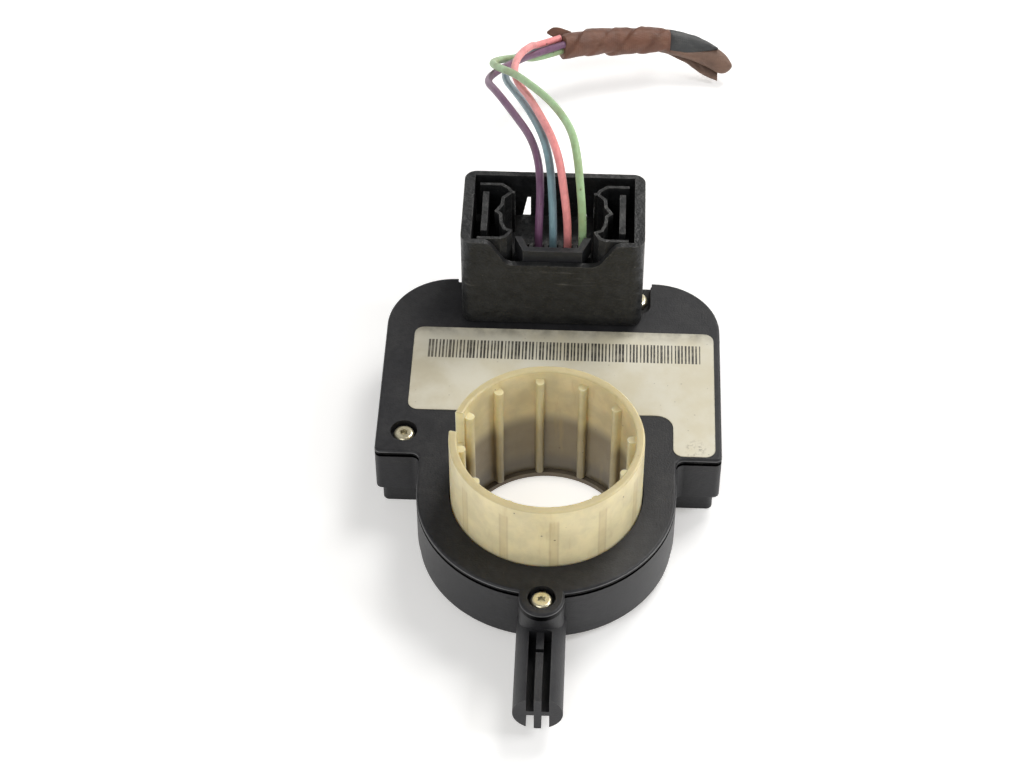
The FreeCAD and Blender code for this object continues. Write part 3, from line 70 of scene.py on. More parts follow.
SPECK_GREY = srgb(138, 134, 126)
# painted shade at the foot of the casing's lip
LIP_PAINTED_SHADE = (0.0015, 0.0015, 0.002)
SEAM_BLACK = (0.004, 0.004, 0.004)
# painted shade of a small hole that is not modelled
HOLE_PAINTED_SHADE = (0.002, 0.002, 0.002)
# painted highlight along the casing lip's edge
EDGE_HIGHLIGHT_AND_RUB = srgb(118, 118, 118)
# painted darker grey at the collar's foot inside the bore
FOOT_PAINTED_SHADE = srgb(104, 99, 92)
RESIN_SPECK = srgb(84, 62, 40)
PALE_EDGE = srgb(232, 222, 190)
ZINC_GRIME = srgb(120, 104, 70)
ZINC_HOLLOW = srgb(44, 36, 22)
WIRE_DIRT = srgb(78, 62, 48)
BAND_INK = srgb(50, 48, 45)
THUMB_BROWN = srgb(112, 100, 78)
FILM_GREY = srgb(158, 148, 124)
# darker band along the label's edge by the plug
FILM_DARK_BAND = srgb(112, 108, 98)
FILM_SPECK = srgb(112, 100, 82)
FILM_EDGE = srgb(120, 112, 98)
BOARD_DUST = srgb(150, 145, 134)
WHITE = (1.0, 1.0, 1.0)


class Body(Enum):
    """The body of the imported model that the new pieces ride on."""

    CASING = "casing"


class Effect(Enum):
    """The surface effects that several finishes share."""

    GRAIN = "moulded_grain"
    EDGES = "rubbed_edges"
    DUST = "settled_dust"
    SCUFFS = "scuff_marks"
    FLECKS = "dirt_flecks"
    HOLLOWS = "sheltered_hollows"
    OUTLINE = "casing_outline"


def opaque(colour: object) -> object:
    """Give a colour its fourth number, and leave a socket as it is."""
    return colour if isinstance(colour, Socket) else (*colour, 1.0)


def cleared(owner: bpy.types.Material | bpy.types.World) -> bpy.types.NodeTree:
    """Switch a material or a world to nodes, and take its ready-made ones away.

    Args:
        owner: The material or world.

    Returns:
        Its empty tree.
    """
    owner.use_nodes = True
    owner.node_tree.nodes.clear()
    return owner.node_tree


def linked(name: str, data: bpy.types.ID) -> bpy.types.Object:
    """Make an object and link it into the scene.

    Args:
        name: The object's name.
        data: Its mesh, curve, lamp or camera.

    Returns:
        The object.
    """
    made = bpy.data.objects.new(name, data)
    bpy.context.scene.collection.objects.link(made)
    return made


class Graph:
    """Lays nodes down in one tree and links them as they are made."""

    def __init__(self, tree: bpy.types.NodeTree) -> None:
        """Keep the tree that the nodes go into."""
        self.tree = tree

    @cached_property
    def place(self) -> Socket:
        """Give the coordinates of the piece itself, in metres."""
        return self.add("ShaderNodeTexCoord").outputs["Object"]

    def at(self, place: Socket | None) -> Socket:
        """Give a place, or the piece's own where none is given."""
        return self.place if place is None else place

    def add(self, kind: str, inputs: dict | None = None, **settings: object) -> bpy.types.Node:
        """Add one node, with its settings and its inputs.

        Args:
            kind: Blender's name for the node's type.
            inputs: Values, or sockets to link from, by input name or number.
            **settings: Properties of the node itself.

        Returns:
            The new node.
        """
        node = self.tree.nodes.new(kind)
        for name, value in settings.items():
            setattr(node, name, value)
        for key, value in (inputs or {}).items():
            if isinstance(value, Socket):
                self.tree.links.new(value, node.inputs[key])
            else:
                node.inputs[key].default_value = value
        return node

    def math(self, operation: str, *values: Value, clamp: bool = False) -> Socket:
        """Work out one number from others, held between 0 and 1 if it is clamped."""
        inputs = dict(enumerate(values))
        return self.add("ShaderNodeMath", inputs, operation=operation, use_clamp=clamp).outputs[0]

    def times(self, *values: Value) -> Value:
        """Multiply values one after another; one alone stays as it is."""
        return reduce(partial(self.math, "MULTIPLY"), values)

    def scaled(self, value: Value, factor: Value, start: Value, clamp: bool = False) -> Socket:
        """Multiply a value by a factor and add it to a start."""
        return self.math("MULTIPLY_ADD", value, factor, start, clamp=clamp)

    def uneven(self, cloud: Socket, middle: float, swing: float) -> Socket:
        """Let a number swing about its middle, as a cloudy value from 0 to 1 says."""
        return self.scaled(cloud, swing, middle - swing / 2)

    def rest(self, value: Value) -> Socket:
        """Give what is left of 1."""
        return self.math("SUBTRACT", 1.0, value)

    def gap(self, first: Value, second: Value) -> Socket:
        """Give how far apart two values are."""
        return self.math("ABSOLUTE", self.math("SUBTRACT", first, second))

    def vector(self, operation: str, *values: object) -> Sockets:
        """Work with vectors, and give the result's sockets."""
        inputs = dict(enumerate(values))
        return self.add("ShaderNodeVectorMath", inputs, operation=operation).outputs

    def axes(self, place: Socket) -> Sequence[Socket]:
        """Split a vector into its three numbers."""
        return self.add("ShaderNodeSeparateXYZ", {0: place}).outputs

    def radius(self) -> Socket:
        """Give how far the surface is from the collar's axis."""
        flat = self.vector("MULTIPLY", self.place, (1.0, 1.0, 0.0))[0]
        return self.vector("LENGTH", flat)["Value"]

    def spread(
        self, value: Value, low: float, high: float, start: float = 0.0, end: float = 1.0
    ) -> Socket:
        """Map a value smoothly: start at and below low, end at and above high."""
        inputs = {0: value, 1: low, 2: high, 3: start, 4: end}
        return self.add("ShaderNodeMapRange", inputs, interpolation_type="SMOOTHSTEP").outputs[0]

    def falling(self, value: Value, low: float, high: float) -> Socket:
        """Give 1 at and below low, falling smoothly to 0 at high."""
        return self.spread(value, low, high, 1.0, 0.0)

    def mix(self, factor: Value, first: object, second: object) -> Socket:
        """Mix two colours, by the second one's share."""
        inputs = {0: factor, 6: opaque(first), 7: opaque(second)}
        return self.add("ShaderNodeMix", inputs, data_type="RGBA").outputs[2]

    def layered(self, base: Socket, *layers: tuple) -> Socket:
        """Lay colours over a base, one after another.

        Args:
            base: The colour so far.
            *layers: For each layer its colour, then the masks that it keeps to.

        Returns:
            The colour with the layers on it.
        """
        for colour, *masks in layers:
            base = self.mix(self.times(*masks), base, colour)
        return base

    def stretched(self, stretch: Point, turn: Point = (0.0, 0.0, 0.0)) -> Socket:
        """Turn the piece's coordinates, in radians, and stretch them."""
        inputs = {"Vector": self.place, "Scale": stretch, "Rotation": turn}
        return self.add("ShaderNodeMapping", inputs).outputs[0]

    def noise(
        self, scale: Value, detail: float = 3.0, rough: float = 0.55, place: Socket | None = None
    ) -> Socket:
        """Give clouds over the surface: how many per metre, how finely and roughly layered."""
        inputs = {"Vector": self.at(place), "Scale": scale, "Detail": detail, "Roughness": rough}
        return self.add("ShaderNodeTexNoise", inputs).outputs[0]

    def bands(self, scale: float, bend: float = 0.0, place: Socket | None = None) -> Socket:
        """Give even bands across the X axis: how close they are and how far they wander."""
        inputs = {"Vector": self.at(place), "Scale": scale / WAVE_TURN, "Distortion": bend}
        return self.add("ShaderNodeTexWave", inputs).outputs[1]

    def bumped(self, height: Value, depth: float, **base: Socket) -> Socket:
        """Turn a height from 0 to 1 into a normal; 1 stands for the depth in metres."""
        inputs = {"Distance": depth, "Height": height, **base}
        return self.add("ShaderNodeBump", inputs).outputs[0]


class EffectGraph(Graph):
    """Lays down the nodes of one shared effect."""

    def __init__(self, tree: bpy.types.NodeTree) -> None:
        """Keep the tree and the effect's own inputs."""
        super().__init__(tree)
        self.entry = self.add("NodeGroupInput").outputs

    def amount(self, *parts: Value) -> dict:
        """Multiply a mask's parts with each other and with the effect's amount."""
        mask = self.times(*parts)
        return {"Mask": self.math("MULTIPLY", mask, self.entry["Amount"], clamp=True)}

    def grain(self) -> dict:
        """Make the pebbled grain that a spark-eroded mould leaves.

        Returns:
            Sockets by output name.
        """
        inputs = {"Vector": self.place, "Scale": self.entry["Scale"]}
        cells = self.add("ShaderNodeTexVoronoi", inputs, feature="SMOOTH_F1")
        pebbles = self.falling(cells.outputs[0], 0.05, 0.75)
        coarse = self.noise(self.times(self.entry["Scale"], 0.22), 4.0, 0.6)
        share = self.entry["Coarse Share"]
        fine = self.times(pebbles, self.rest(share))
        return {"Height": self.scaled(coarse, share, fine), "Cloud": coarse}

    def edges(self) -> dict:
        """Find the edges of a moulding and break them up where hands have rubbed.

        Returns:
            Sockets by output name.
        """
        rounded = self.add("ShaderNodeBevel", {"Radius": self.entry["Radius"]}, samples=2)
        normal = self.add("ShaderNodeNewGeometry").outputs["Normal"]
        facing = self.vector("DOT_PRODUCT", rounded.outputs[0], normal)["Value"]
        edge = self.spread(self.rest(facing), 0.01, 0.22)
        patches = self.spread(self.noise(self.entry["Breakup"], 5.0, 0.65), 0.38, 0.62)
        return self.amount(edge, patches)

    def dust(self) -> dict:
        """Make the film of dust that lies in clouds, more on faces that look up.

        Returns:
            Sockets by output name.
        """
        clouds = self.spread(self.noise(self.entry["Scale"], 6.0, 0.62), 0.36, 0.74)
        fine = self.spread(self.noise(3100.0, 2.0, 0.7), 0.3, 0.75)
        normal = self.add("ShaderNodeNewGeometry").outputs["Normal"]
        up = self.math("MAXIMUM", self.axes(normal)["Z"], 0.0)
        lie = self.scaled(up, self.entry["Upward"], self.rest(self.entry["Upward"]))
        return self.amount(clouds, self.scaled(fine, 0.6, 0.4), lie)

    def scuffs(self) -> dict:
        """Make short rubbed streaks that run two ways across each other.

        Returns:
            Sockets by output name.
        """
        level_place = self.stretched((0.22, 1.0, 2.4), (0.0, 0.12, 0.2))
        steep_place = self.stretched((2.2, 1.0, 0.3), (0.3, 0.5, 0.9))
        level = self.spread(self.noise(self.entry["Scale"], 5.0, 0.7, level_place), 0.6, 0.74)
        steep = self.spread(self.noise(self.entry["Scale"], 4.0, 0.7, steep_place), 0.63, 0.76)
        where = self.spread(self.noise(75.0, 2.0, 0.5), 0.42, 0.62)
        return self.amount(self.math("MAXIMUM", level, steep), where)

    def flecks(self) -> dict:
        """Make small separate specks of dirt.

        Returns:
            Sockets by output name.
        """
        wobble = self.add("ShaderNodeTexNoise", {"Vector": self.place, "Scale": 900.0}).outputs[1]
        bent = self.vector("MULTIPLY_ADD", wobble, (0.0006, 0.0006, 0.0006), self.place)[0]
        inputs = {"Vector": bent, "Scale": self.entry["Scale"]}
        cells = self.add("ShaderNodeTexVoronoi", inputs).outputs
        pick = self.add("ShaderNodeSeparateColor", {0: cells["Color"]}).outputs[0]
        reach = self.times(self.spread(pick, 0.55, 1.0), self.entry["Amount"])
        return {"Mask": self.spread(self.math("SUBTRACT", reach, cells["Distance"]), 0.0, 0.06)}

    def hollows(self) -> dict:
        """Find the hollows that little light reaches, where wear and dust stay away and the
        finishes paint shade.
        """
        shade = self.add("ShaderNodeAmbientOcclusion", {"Distance": self.entry["Reach"]}, samples=2)
        return self.amount(self.falling(shade.outputs["AO"], 0.12, 0.8))

    def outline(self) -> dict:
        """Tell how far inside the casing's outline a point is, seen from above.

        Returns:
            Sockets by output name.
        """
        across, along, height = self.axes(self.place)
        in_ring = self.math("SUBTRACT", self.entry["Ring Radius"], self.radius())
        from_side = self.math("SUBTRACT", self.entry["Half Width"], self.math("ABSOLUTE", across))
        from_near = self.math("SUBTRACT", along, self.entry["Near Edge"])
        in_block = self.math("MINIMUM", from_side, from_near)
        depth = self.math("SMOOTH_MAX", in_ring, in_block, self.entry["Corner"])
        return {"Depth": depth, "Height": height}


OUTLINE_SIZES = {"Ring Radius": 0.0306, "Half Width": 0.0415, "Near Edge": 0.0108, "Corner": 0.005}
RECIPES: dict[Effect, tuple[Callable[[EffectGraph], dict], dict[str, float]]] = {
    Effect.GRAIN: (EffectGraph.grain, {"Scale": 2600.0, "Coarse Share": 0.35}),
    Effect.EDGES: (EffectGraph.edges, {"Radius": 0.0006, "Amount": 0.5, "Breakup": 420.0}),
    Effect.DUST: (EffectGraph.dust, {"Scale": 130.0, "Amount": 0.3, "Upward": 0.7}),
    Effect.SCUFFS: (EffectGraph.scuffs, {"Scale": 260.0, "Amount": 0.3}),
    Effect.FLECKS: (EffectGraph.flecks, {"Scale": 700.0, "Amount": 0.2}),
    Effect.HOLLOWS: (EffectGraph.hollows, {"Reach": 0.004, "Amount": 0.7}),
    Effect.OUTLINE: (EffectGraph.outline, OUTLINE_SIZES),
}


class EffectLibrary:
    """Builds each shared effect once, as a shader node group, and keeps the materials."""

    def __init__(self) -> None:
        """Start with no group and no material built."""
        self.trees: dict[Effect, bpy.types.NodeTree] = {}
        self.materials: dict[str, bpy.types.Material] = {}

    def tree(self, effect: Effect) -> bpy.types.NodeTree:
        """Give an effect's node group, built when it is first asked for.

        Args:
            effect: The effect that is wanted.

        Returns:
            The node group.
        """
        if effect not in self.trees:
            maker, inputs = RECIPES[effect]
            tree = bpy.data.node_groups.new(effect.value, "ShaderNodeTree")
            socket = partial(tree.interface.new_socket, socket_type="NodeSocketFloat")
            for name, value in inputs.items():
                socket(name, in_out="INPUT").default_value = value
            graph = EffectGraph(tree)
            results = maker(graph)
            for name in results:
                socket(name, in_out="OUTPUT")
            graph.add("NodeGroupOutput", results)
            self.trees[effect] = tree
        return self.trees[effect]


class Coat(Graph):
    """Lays down a material's nodes, with the shared effects at hand."""

    def __init__(self, tree: bpy.types.NodeTree, effects: EffectLibrary) -> None:
        """Keep the tree and the shared effects."""
        super().__init__(tree)
        self.effects = effects

    def effect(self, effect: Effect, **values: float) -> Sockets:
        """Put an effect into the material.

        Args:
            effect: The effect to place.
            **values: The effect's inputs.

        Returns:
            The effect's outputs.
        """
        node = self.add("ShaderNodeGroup", node_tree=self.effects.tree(effect))
        for name, value in values.items():
            node.inputs[name.title()].default_value = value
        return node.outputs

    def mask(self, effect: Effect, **values: float) -> Socket:
        """Put an effect into the material and give its mask."""
        return self.effect(effect, **values)["Mask"]


@dataclass(frozen=True)
class Finish:
    """A finish that makes one material, and can be laid on a piece."""

    name: str
    colour: Colour

    def surface(self, coat: Coat) -> dict:
        """Give the shader's inputs; each finish has its own."""
        raise NotImplementedError

    def shaded(self, factor: float, lift: float = 0.0) -> Colour:
        """Give the finish's colour made lighter or darker."""
        return tuple(min(1.0, part * factor + lift) for part in self.colour)

    def material(self, effects: EffectLibrary) -> bpy.types.Material:
        """Build the finish's material once.

        Args:
            effects: The shared surface effects.

        Returns:
            The material.
        """
        if self.name not in effects.materials:
            made = bpy.data.materials.new(self.name + "_finish")
            coat = Coat(cleared(made), effects)
            shader = coat.add("ShaderNodeBsdfPrincipled", self.surface(coat))
            coat.add("ShaderNodeOutputMaterial", {"Surface": shader.outputs[0]})
            effects.materials[self.name] = made
        return effects.materials[self.name]


@dataclass(frozen=True)
class Moulding(Finish):
    """Opaque moulded plastic with grain, rubbed edges, scuffs, dust, flecks and painted shade in
    its hollows.
    """

    rubbed: Colour = srgb(128, 126, 120)
    roughness: float = 0.52
    grain_scale: float = 2600.0
    grain_depth: float = 0.00003
    edge_radius: float = 0.0005
    edge_amount: float = 0.3
    scuff_amount: float = 0.2
    dust_amount: float = 0.2
    dust_colour: Colour = srgb(128, 125, 120)
    fleck_amount: float = 0.16
    fleck_strength: float = 0.45
    mottle: float = 0.12
    dent_scale: float = 330.0
    dent_depth: float = 0.0
    shelter: float = 0.8
    # how dark the painted shade in the hollows is, as a share of the colour
    hollow_painted_shade: float = 0.25
    gloss: float = 0.42

    def wear_and_painted_shade(self, coat: Coat, base: Socket) -> Socket:
        """Leave the colour as it is; some mouldings have marks and painted shade of their own."""
        return base

    def painted_shade(self, coat: Coat) -> Value:
        """Leave the gloss as it is; some mouldings blacken their painted shade with metal."""
        return 0.0

    def surface(self, coat: Coat) -> dict:
        """Give the shader's inputs.

        Args:
            coat: The material's nodes.

        Returns:
            Values and sockets by input name.
        """
        hollow = coat.mask(Effect.HOLLOWS, amount=self.shelter)
        open_air = coat.rest(hollow)
        grain = coat.effect(Effect.GRAIN, scale=self.grain_scale)
        edges = coat.mask(Effect.EDGES, radius=self.edge_radius, amount=self.edge_amount)
        scuffs = coat.mask(Effect.SCUFFS, amount=self.scuff_amount)
        dust = coat.mask(Effect.DUST, amount=self.dust_amount)
        flecks = coat.mask(Effect.FLECKS, amount=self.fleck_amount)
        deep, pale = self.shaded(1 - self.mottle), self.shaded(1 + self.mottle, 0.004)
        base = coat.mix(coat.spread(grain["Cloud"], 0.3, 0.7), deep, pale)
        base = coat.layered(
            self.wear_and_painted_shade(coat, base),
            (self.rubbed, edges, open_air),
            (self.rubbed, scuffs, open_air),
            (self.dust_colour, dust, open_air),
            (SPECK_GREY, flecks, open_air, self.fleck_strength),
            # painted shade: a darker copy of the colour in the hollows
            (self.shaded(self.hollow_painted_shade), hollow),
        )
        worn = coat.math("MAXIMUM", edges, scuffs)
        rough = coat.scaled(worn, -0.12, coat.uneven(grain["Cloud"], self.roughness, 0.12))
        rough = coat.scaled(hollow, 0.4, rough)
        dented = coat.bumped(coat.noise(self.dent_scale, 4.0, 0.6), self.dent_depth)
        return {
            "Base Color": base,
            "Roughness": coat.scaled(dust, 0.3, rough, clamp=True),
            "Specular IOR Level": self.gloss,
            "Metallic": self.painted_shade(coat),
            "Normal": coat.bumped(grain["Height"], self.grain_depth, Normal=dented),
        }


@dataclass(frozen=True)
class CasingMoulding(Moulding):
    """The casing's plastic, with painted shade at its lip's foot, a painted highlight along the
    lip's edge and a fine line at its seam.
    """

    top: float = 0.0195
    # the painted shade's band on the lip's side, as depths below the top
    shade_foot: float = 0.0022
    shade_head: float = 0.0009
    line_drop: float = 0.00058
    seam: float = 0.0156
    hole: Point = (-0.0076, -0.0297, 0.0161)
    seat_radius: float = 0.0209
    seat_top: float = 0.0037
    seat_colour: Colour = srgb(146, 134, 118)

    def painted_shade(self, coat: Coat) -> Socket:
        """Find the painted shade at the lip's foot, which is made black with metal so that it
        swallows the light.

        Args:
            coat: The material's nodes.

        Returns:
            The painted shade's mask.
        """
        outline = coat.effect(Effect.OUTLINE)
        foot, head = self.top - self.shade_foot, self.top - self.shade_head
        side = coat.falling(outline["Depth"], 0.0007, 0.0009)
        above = coat.spread(outline["Height"], foot, foot + 0.0001)
        below = coat.falling(outline["Height"], head, head + 0.0002)
        return coat.times(side, above, below)

    def wear_and_painted_shade(self, coat: Coat, base: Socket) -> Socket:
        """Paint shade at the lip's foot, a broken highlight along its edge and a dark dot at the
        small hole, darken the seam, and paint the seat in the bore lighter.

        Args:
            coat: The material's nodes.
            base: The colour so far.

        Returns:
            The colour with the marks and the painted light on it.
        """
        outline = coat.effect(Effect.OUTLINE)
        height = outline["Height"]
        side = coat.falling(outline["Depth"], 0.0003, 0.0005)
        line = coat.falling(coat.gap(height, self.top - self.line_drop), 0.00006, 0.00022)
        patches = coat.spread(coat.noise(140.0, 3.0, 0.6), 0.3, 0.6, 0.25, 0.8)
        seam = coat.spread(coat.gap(height, self.seam), 0.00008, 0.00022, 0.85, 0.0)
        from_hole = coat.vector("DISTANCE", coat.place, self.hole)["Value"]
        low = coat.falling(height, self.seat_top - 0.0003, self.seat_top)
        near = coat.falling(coat.radius(), self.seat_radius - 0.0002, self.seat_radius)
        return coat.layered(
            base,
            # painted shade: near black on the lip's side under its edge
            (LIP_PAINTED_SHADE, self.painted_shade(coat), 0.93),
            # painted highlight along the lip's edge, broken into patches like rubbed wear
            (EDGE_HIGHLIGHT_AND_RUB, line, side, patches),
            (SEAM_BLACK, seam, side),
            # painted shade: a dark dot where the small hole in the skirt is not modelled
            (HOLE_PAINTED_SHADE, coat.falling(from_hole, 0.0004, 0.0006)),
            (self.seat_colour, near, low),
        )


@dataclass(frozen=True)
class MilkyMoulding(Finish):
    """Unfilled cream plastic that light passes into, with painted shade where it sits in the casing
    and painted rib shadows seen through its wall.
    """

    # painted shade on the inner wall where the casing surrounds it
    sunk_shade: Colour
    # colour of the stain streaks, also used for the painted rib shadows
    stain_and_rib_shade: Colour
    shade: Colour = srgb(168, 142, 92)
    rim_shade: Colour = srgb(176, 160, 118)
    roughness: float = 0.34
    light_weight: float = 0.85
    light_depth: float = 0.0018
    light_reach: Point = (1.0, 0.9, 0.66)
    sunk_top: float = 0.0257
    foot_top: float = 0.012
    blend: float = 0.005
    bore: float = 0.0206
    rib_bearing: float = math.radians(96.3)
    rib_pitch: float = math.radians(30)
    rib_top: float = 0.0362
    rim_top: float = 0.0383

    def ribs(self, coat: Coat) -> Socket:
        """Tell how far round from the nearest rib's middle a point is, in rib pitches.

        Args:
            coat: The material's nodes.

        Returns:
            The distance's socket, from 0 to 0.5.
        """
        across, along, _ = coat.axes(coat.place)
        bearing = coat.math("ARCTAN2", along, across)
        past_first = coat.math("SUBTRACT", bearing, self.rib_bearing - math.tau)
        pitches = coat.math("ADD", coat.math("DIVIDE", past_first, self.rib_pitch), 0.5)
        return coat.gap(coat.math("FRACT", pitches), 0.5)

    def surface(self, coat: Coat) -> dict:
        """Give the shader's inputs.

        Args:
            coat: The material's nodes.

        Returns:
            Values and sockets by input name.
        """
        height, rim = coat.axes(coat.place)["Z"], self.rim_top
        blotch = coat.noise(170.0, 5.0, 0.6)
        level = coat.scaled(blotch, 0.0016, height)
        radius = coat.radius()
        inside = coat.falling(radius, self.bore - 0.0001, self.bore + 0.0005)
        proud = coat.spread(radius, self.bore - 0.0013, self.bore - 0.0005, 0.4, 1.0)
        sunk_shade = coat.falling(level, self.sunk_top - self.blend, self.sunk_top)
        foot = coat.falling(level, self.foot_top - self.blend, self.foot_top)
        below_rim = coat.falling(level, self.rib_top - 0.0012, self.rib_top)
        outside = coat.times(coat.rest(inside), below_rim)
        off_rib = self.ribs(coat)
        rib_side = coat.falling(coat.gap(off_rib, 0.08), 0.004, 0.03)
        streaks = coat.noise(420.0, 4.0, 0.6, coat.stretched((1.0, 1.0, 0.16)))
        base = coat.layered(
            coat.mix(coat.spread(blotch, 0.3, 0.7), self.colour, self.shaded(0.84)),
            # painted shade on the inner wall where the casing surrounds it, and a painted darker
            # grey at its foot
            (self.sunk_shade, sunk_shade, inside, proud, 0.74),
            (FOOT_PAINTED_SHADE, foot, inside, proud, 0.6),
            # painted rib shadows: darker bars on the outside at each rib, with painted shade along
            # their sides
            (self.stain_and_rib_shade, coat.falling(off_rib, 0.055, 0.11), outside, 0.3),
            (self.shade, rib_side, outside, 0.2),
            (self.stain_and_rib_shade, coat.spread(streaks, 0.56, 0.8, 0.0, 0.4)),
            (RESIN_SPECK, coat.mask(Effect.FLECKS, scale=330.0, amount=0.11), 0.7),
            (self.rim_shade, coat.spread(height, rim - 0.0006, rim - 0.0002, 0.0, 0.55)),
            (PALE_EDGE, coat.mask(Effect.EDGES, radius=0.0005, amount=0.16, breakup=600.0)),
        )
        rings = coat.noise(900.0, 2.0, 0.6, coat.stretched((1.0, 1.0, 5.0)))
        return {
            "Base Color": base,
            "Roughness": coat.uneven(blotch, self.roughness, 0.18),
            "Subsurface Weight": self.light_weight,
            "Subsurface Radius": self.light_reach,
            "Subsurface Scale": self.light_depth,
            "Normal": coat.bumped(rings, 0.00003),
        }


@dataclass(frozen=True)
class Plated(Finish):
    """Bright plated metal with fine scratches, dull spots and grime."""

    dull: Colour
    roughness: float = 0.3
    grime: float = 0.3

    def surface(self, coat: Coat) -> dict:
        """Give the shader's inputs.

        Args:
            coat: The material's nodes.

        Returns:
            Values and sockets by input name.
        """
        clouds = coat.noise(420.0)
        scratches = coat.noise(900.0, 3.0, 0.7, coat.stretched((1.0, 9.0, 1.0), (0.0, 0.0, 0.6)))
        hollow = coat.mask(Effect.HOLLOWS, reach=0.0009, amount=0.9)
        base = coat.layered(
            coat.mix(coat.spread(clouds, 0.3, 0.7), self.colour, self.dull),
            (ZINC_GRIME, coat.spread(clouds, 0.55, 0.8), self.grime),
            (ZINC_HOLLOW, hollow),
        )
        return {
            "Base Color": base,
            "Metallic": coat.spread(hollow, 0.0, 1.0, 0.85, 0.2),
            "Roughness": coat.uneven(scratches, self.roughness, 0.2),
            "Normal": coat.bumped(scratches, 0.000002),
        }


@dataclass(frozen=True)
class Insulation(Finish):
    """Soft wire insulation, unevenly soiled, with dark flecks stuck to it."""

    soil: Colour
    soiling: float = 0.5
    roughness: float = 0.42

    def surface(self, coat: Coat) -> dict:
        """Give the shader's inputs.

        Args:
            coat: The material's nodes.

        Returns:
            Values and sockets by input name.
        """
        clouds = coat.noise(120.0, 5.0, 0.6)
        streaks = coat.noise(1100.0, 4.0, 0.65, coat.stretched((1.0, 0.3, 0.5)))
        base = coat.layered(
            coat.mix(coat.spread(streaks, 0.35, 0.7), self.colour, self.shaded(1.16, 0.01)),
            (self.soil, coat.spread(clouds, 0.42, 0.72), self.soiling),
            (WIRE_DIRT, coat.mask(Effect.FLECKS, scale=620.0, amount=0.22), 0.6),
        )
        return {
            "Base Color": base,
            "Roughness": coat.uneven(clouds, self.roughness, 0.2),
            "Normal": coat.bumped(streaks, 0.00004),
        }


@dataclass(frozen=True)
class ClothTape(Finish):
    """Adhesive cloth tape: fine weave, smears of glue and dust along it, and painted shade in its
    creases.
    """

    smear: Colour
    roughness: float = 0.5
    threads: float = 3400.0

    def surface(self, coat: Coat) -> dict:
        """Give the shader's inputs.

        Args:
            coat: The material's nodes.

        Returns:
            Values and sockets by input name.
        """
        weft_place = coat.stretched((1.0, 1.0, 1.0), (0.0, 0.0, 1.57))
        weft = coat.bands(self.threads, 1.2, weft_place)
        weave = coat.times(coat.bands(self.threads, 1.2), weft)
        clouds = coat.noise(240.0, 5.0, 0.6)
        smears = coat.noise(520.0, 5.0, 0.68, coat.stretched((0.35, 1.0, 1.0), (0.0, 0.3, 0.35)))
        base = coat.layered(
            coat.mix(coat.spread(clouds, 0.32, 0.68), self.shaded(0.72), self.colour),
            (self.smear, coat.spread(smears, 0.5, 0.78, 0.0, 0.55)),
            (self.smear, coat.mask(Effect.EDGES, radius=0.0004, amount=0.4, breakup=700.0)),
            # painted shade: a darker copy of the tape in its creases
            (self.shaded(0.25), coat.mask(Effect.HOLLOWS, reach=0.0018, amount=0.9)),
        )
        return {
            "Base Color": base,
            "Roughness": coat.uneven(clouds, self.roughness, 0.24),
            "Normal": coat.bumped(coat.scaled(weave, 0.25, smears), 0.00012),
        }


@dataclass(frozen=True)
class LabelFilm(Finish):
    """Worn pale label film: bare, with one plain hatched band, some soiling, darker towards the
    left and in a band along the edge by the plug.
    """

    yellowed: Colour
    band_start: Point = (-0.0311, 0.0419, 0.0)
    band_end: Point = (0.0368, 0.048, 0.0)
    bars: float = 2300.0
    thumb_mark: Point = (0.0352, 0.0142, 0.0)
    dark_band_start: float = 0.0478
    dark_band_full: float = 0.0522
    roughness: float = 0.4

    def hatch(self, coat: Coat, across: Socket, along: Socket) -> Socket:
        """Draw the band of bars of uneven width.

        Args:
            coat: The material's nodes.
            across: The place along the X axis.
            along: The place along the Y axis.

        Returns:
            The bars' mask.
        """
        widths = coat.noise(620.0, 3.0, 0.8, coat.stretched((1.0, 0.0, 0.0)))
        width = coat.spread(widths, 0.42, 0.58, 0.14, 0.8)
        bars = coat.spread(coat.math("SUBTRACT", coat.bands(self.bars), width), -0.06, 0.06)
        for axis, start, end in zip((across, along), self.band_start, self.band_end):
            started = coat.math("GREATER_THAN", axis, start)
            bars = coat.times(bars, started, coat.math("LESS_THAN", axis, end))
        return bars

    def surface(self, coat: Coat) -> dict:
        """Give the shader's inputs.

        Args:
            coat: The material's nodes.

        Returns:
            Values and sockets by input name.
        """
        across, along, _ = coat.axes(coat.place)
        clouds = coat.noise(95.0, 5.0, 0.6)
        worn = coat.spread(coat.noise(520.0, 4.0, 0.6), 0.25, 0.6, 0.7, 0.97)
        away = coat.vector("DISTANCE", coat.stretched((1.0, 1.0, 0.0)), self.thumb_mark)["Value"]
        blots = coat.spread(coat.noise(1300.0, 3.0, 0.6), 0.5, 0.66)
        leftward = coat.spread(across, -0.04, -0.012, 0.5, 0.0)
        patchy = coat.spread(coat.noise(260.0, 4.0, 0.6), 0.3, 0.7, 0.2, 0.7)
        base = coat.layered(
            coat.mix(coat.spread(clouds, 0.32, 0.68), self.colour, self.yellowed),
            (BAND_INK, self.hatch(coat, across, along), worn),
            (THUMB_BROWN, coat.spread(away, 0.0008, 0.0034, 0.6, 0.0), blots),
            # darker towards the left
            (FILM_GREY, leftward, coat.spread(clouds, 0.3, 0.7, 0.5, 1.0)),
            # darker in a patchy band along the edge by the plug
            (FILM_DARK_BAND, coat.spread(along, self.dark_band_start, self.dark_band_full), patchy),
            (FILM_SPECK, coat.mask(Effect.FLECKS, scale=620.0, amount=0.15), 0.4),
            (FILM_EDGE, coat.mask(Effect.EDGES, radius=0.0005, amount=0.7, breakup=500.0)),
        )
        return {
            "Base Color": base,
            "Roughness": coat.uneven(clouds, self.roughness, 0.2),
            "Normal": coat.bumped(clouds, 0.00005),
        }


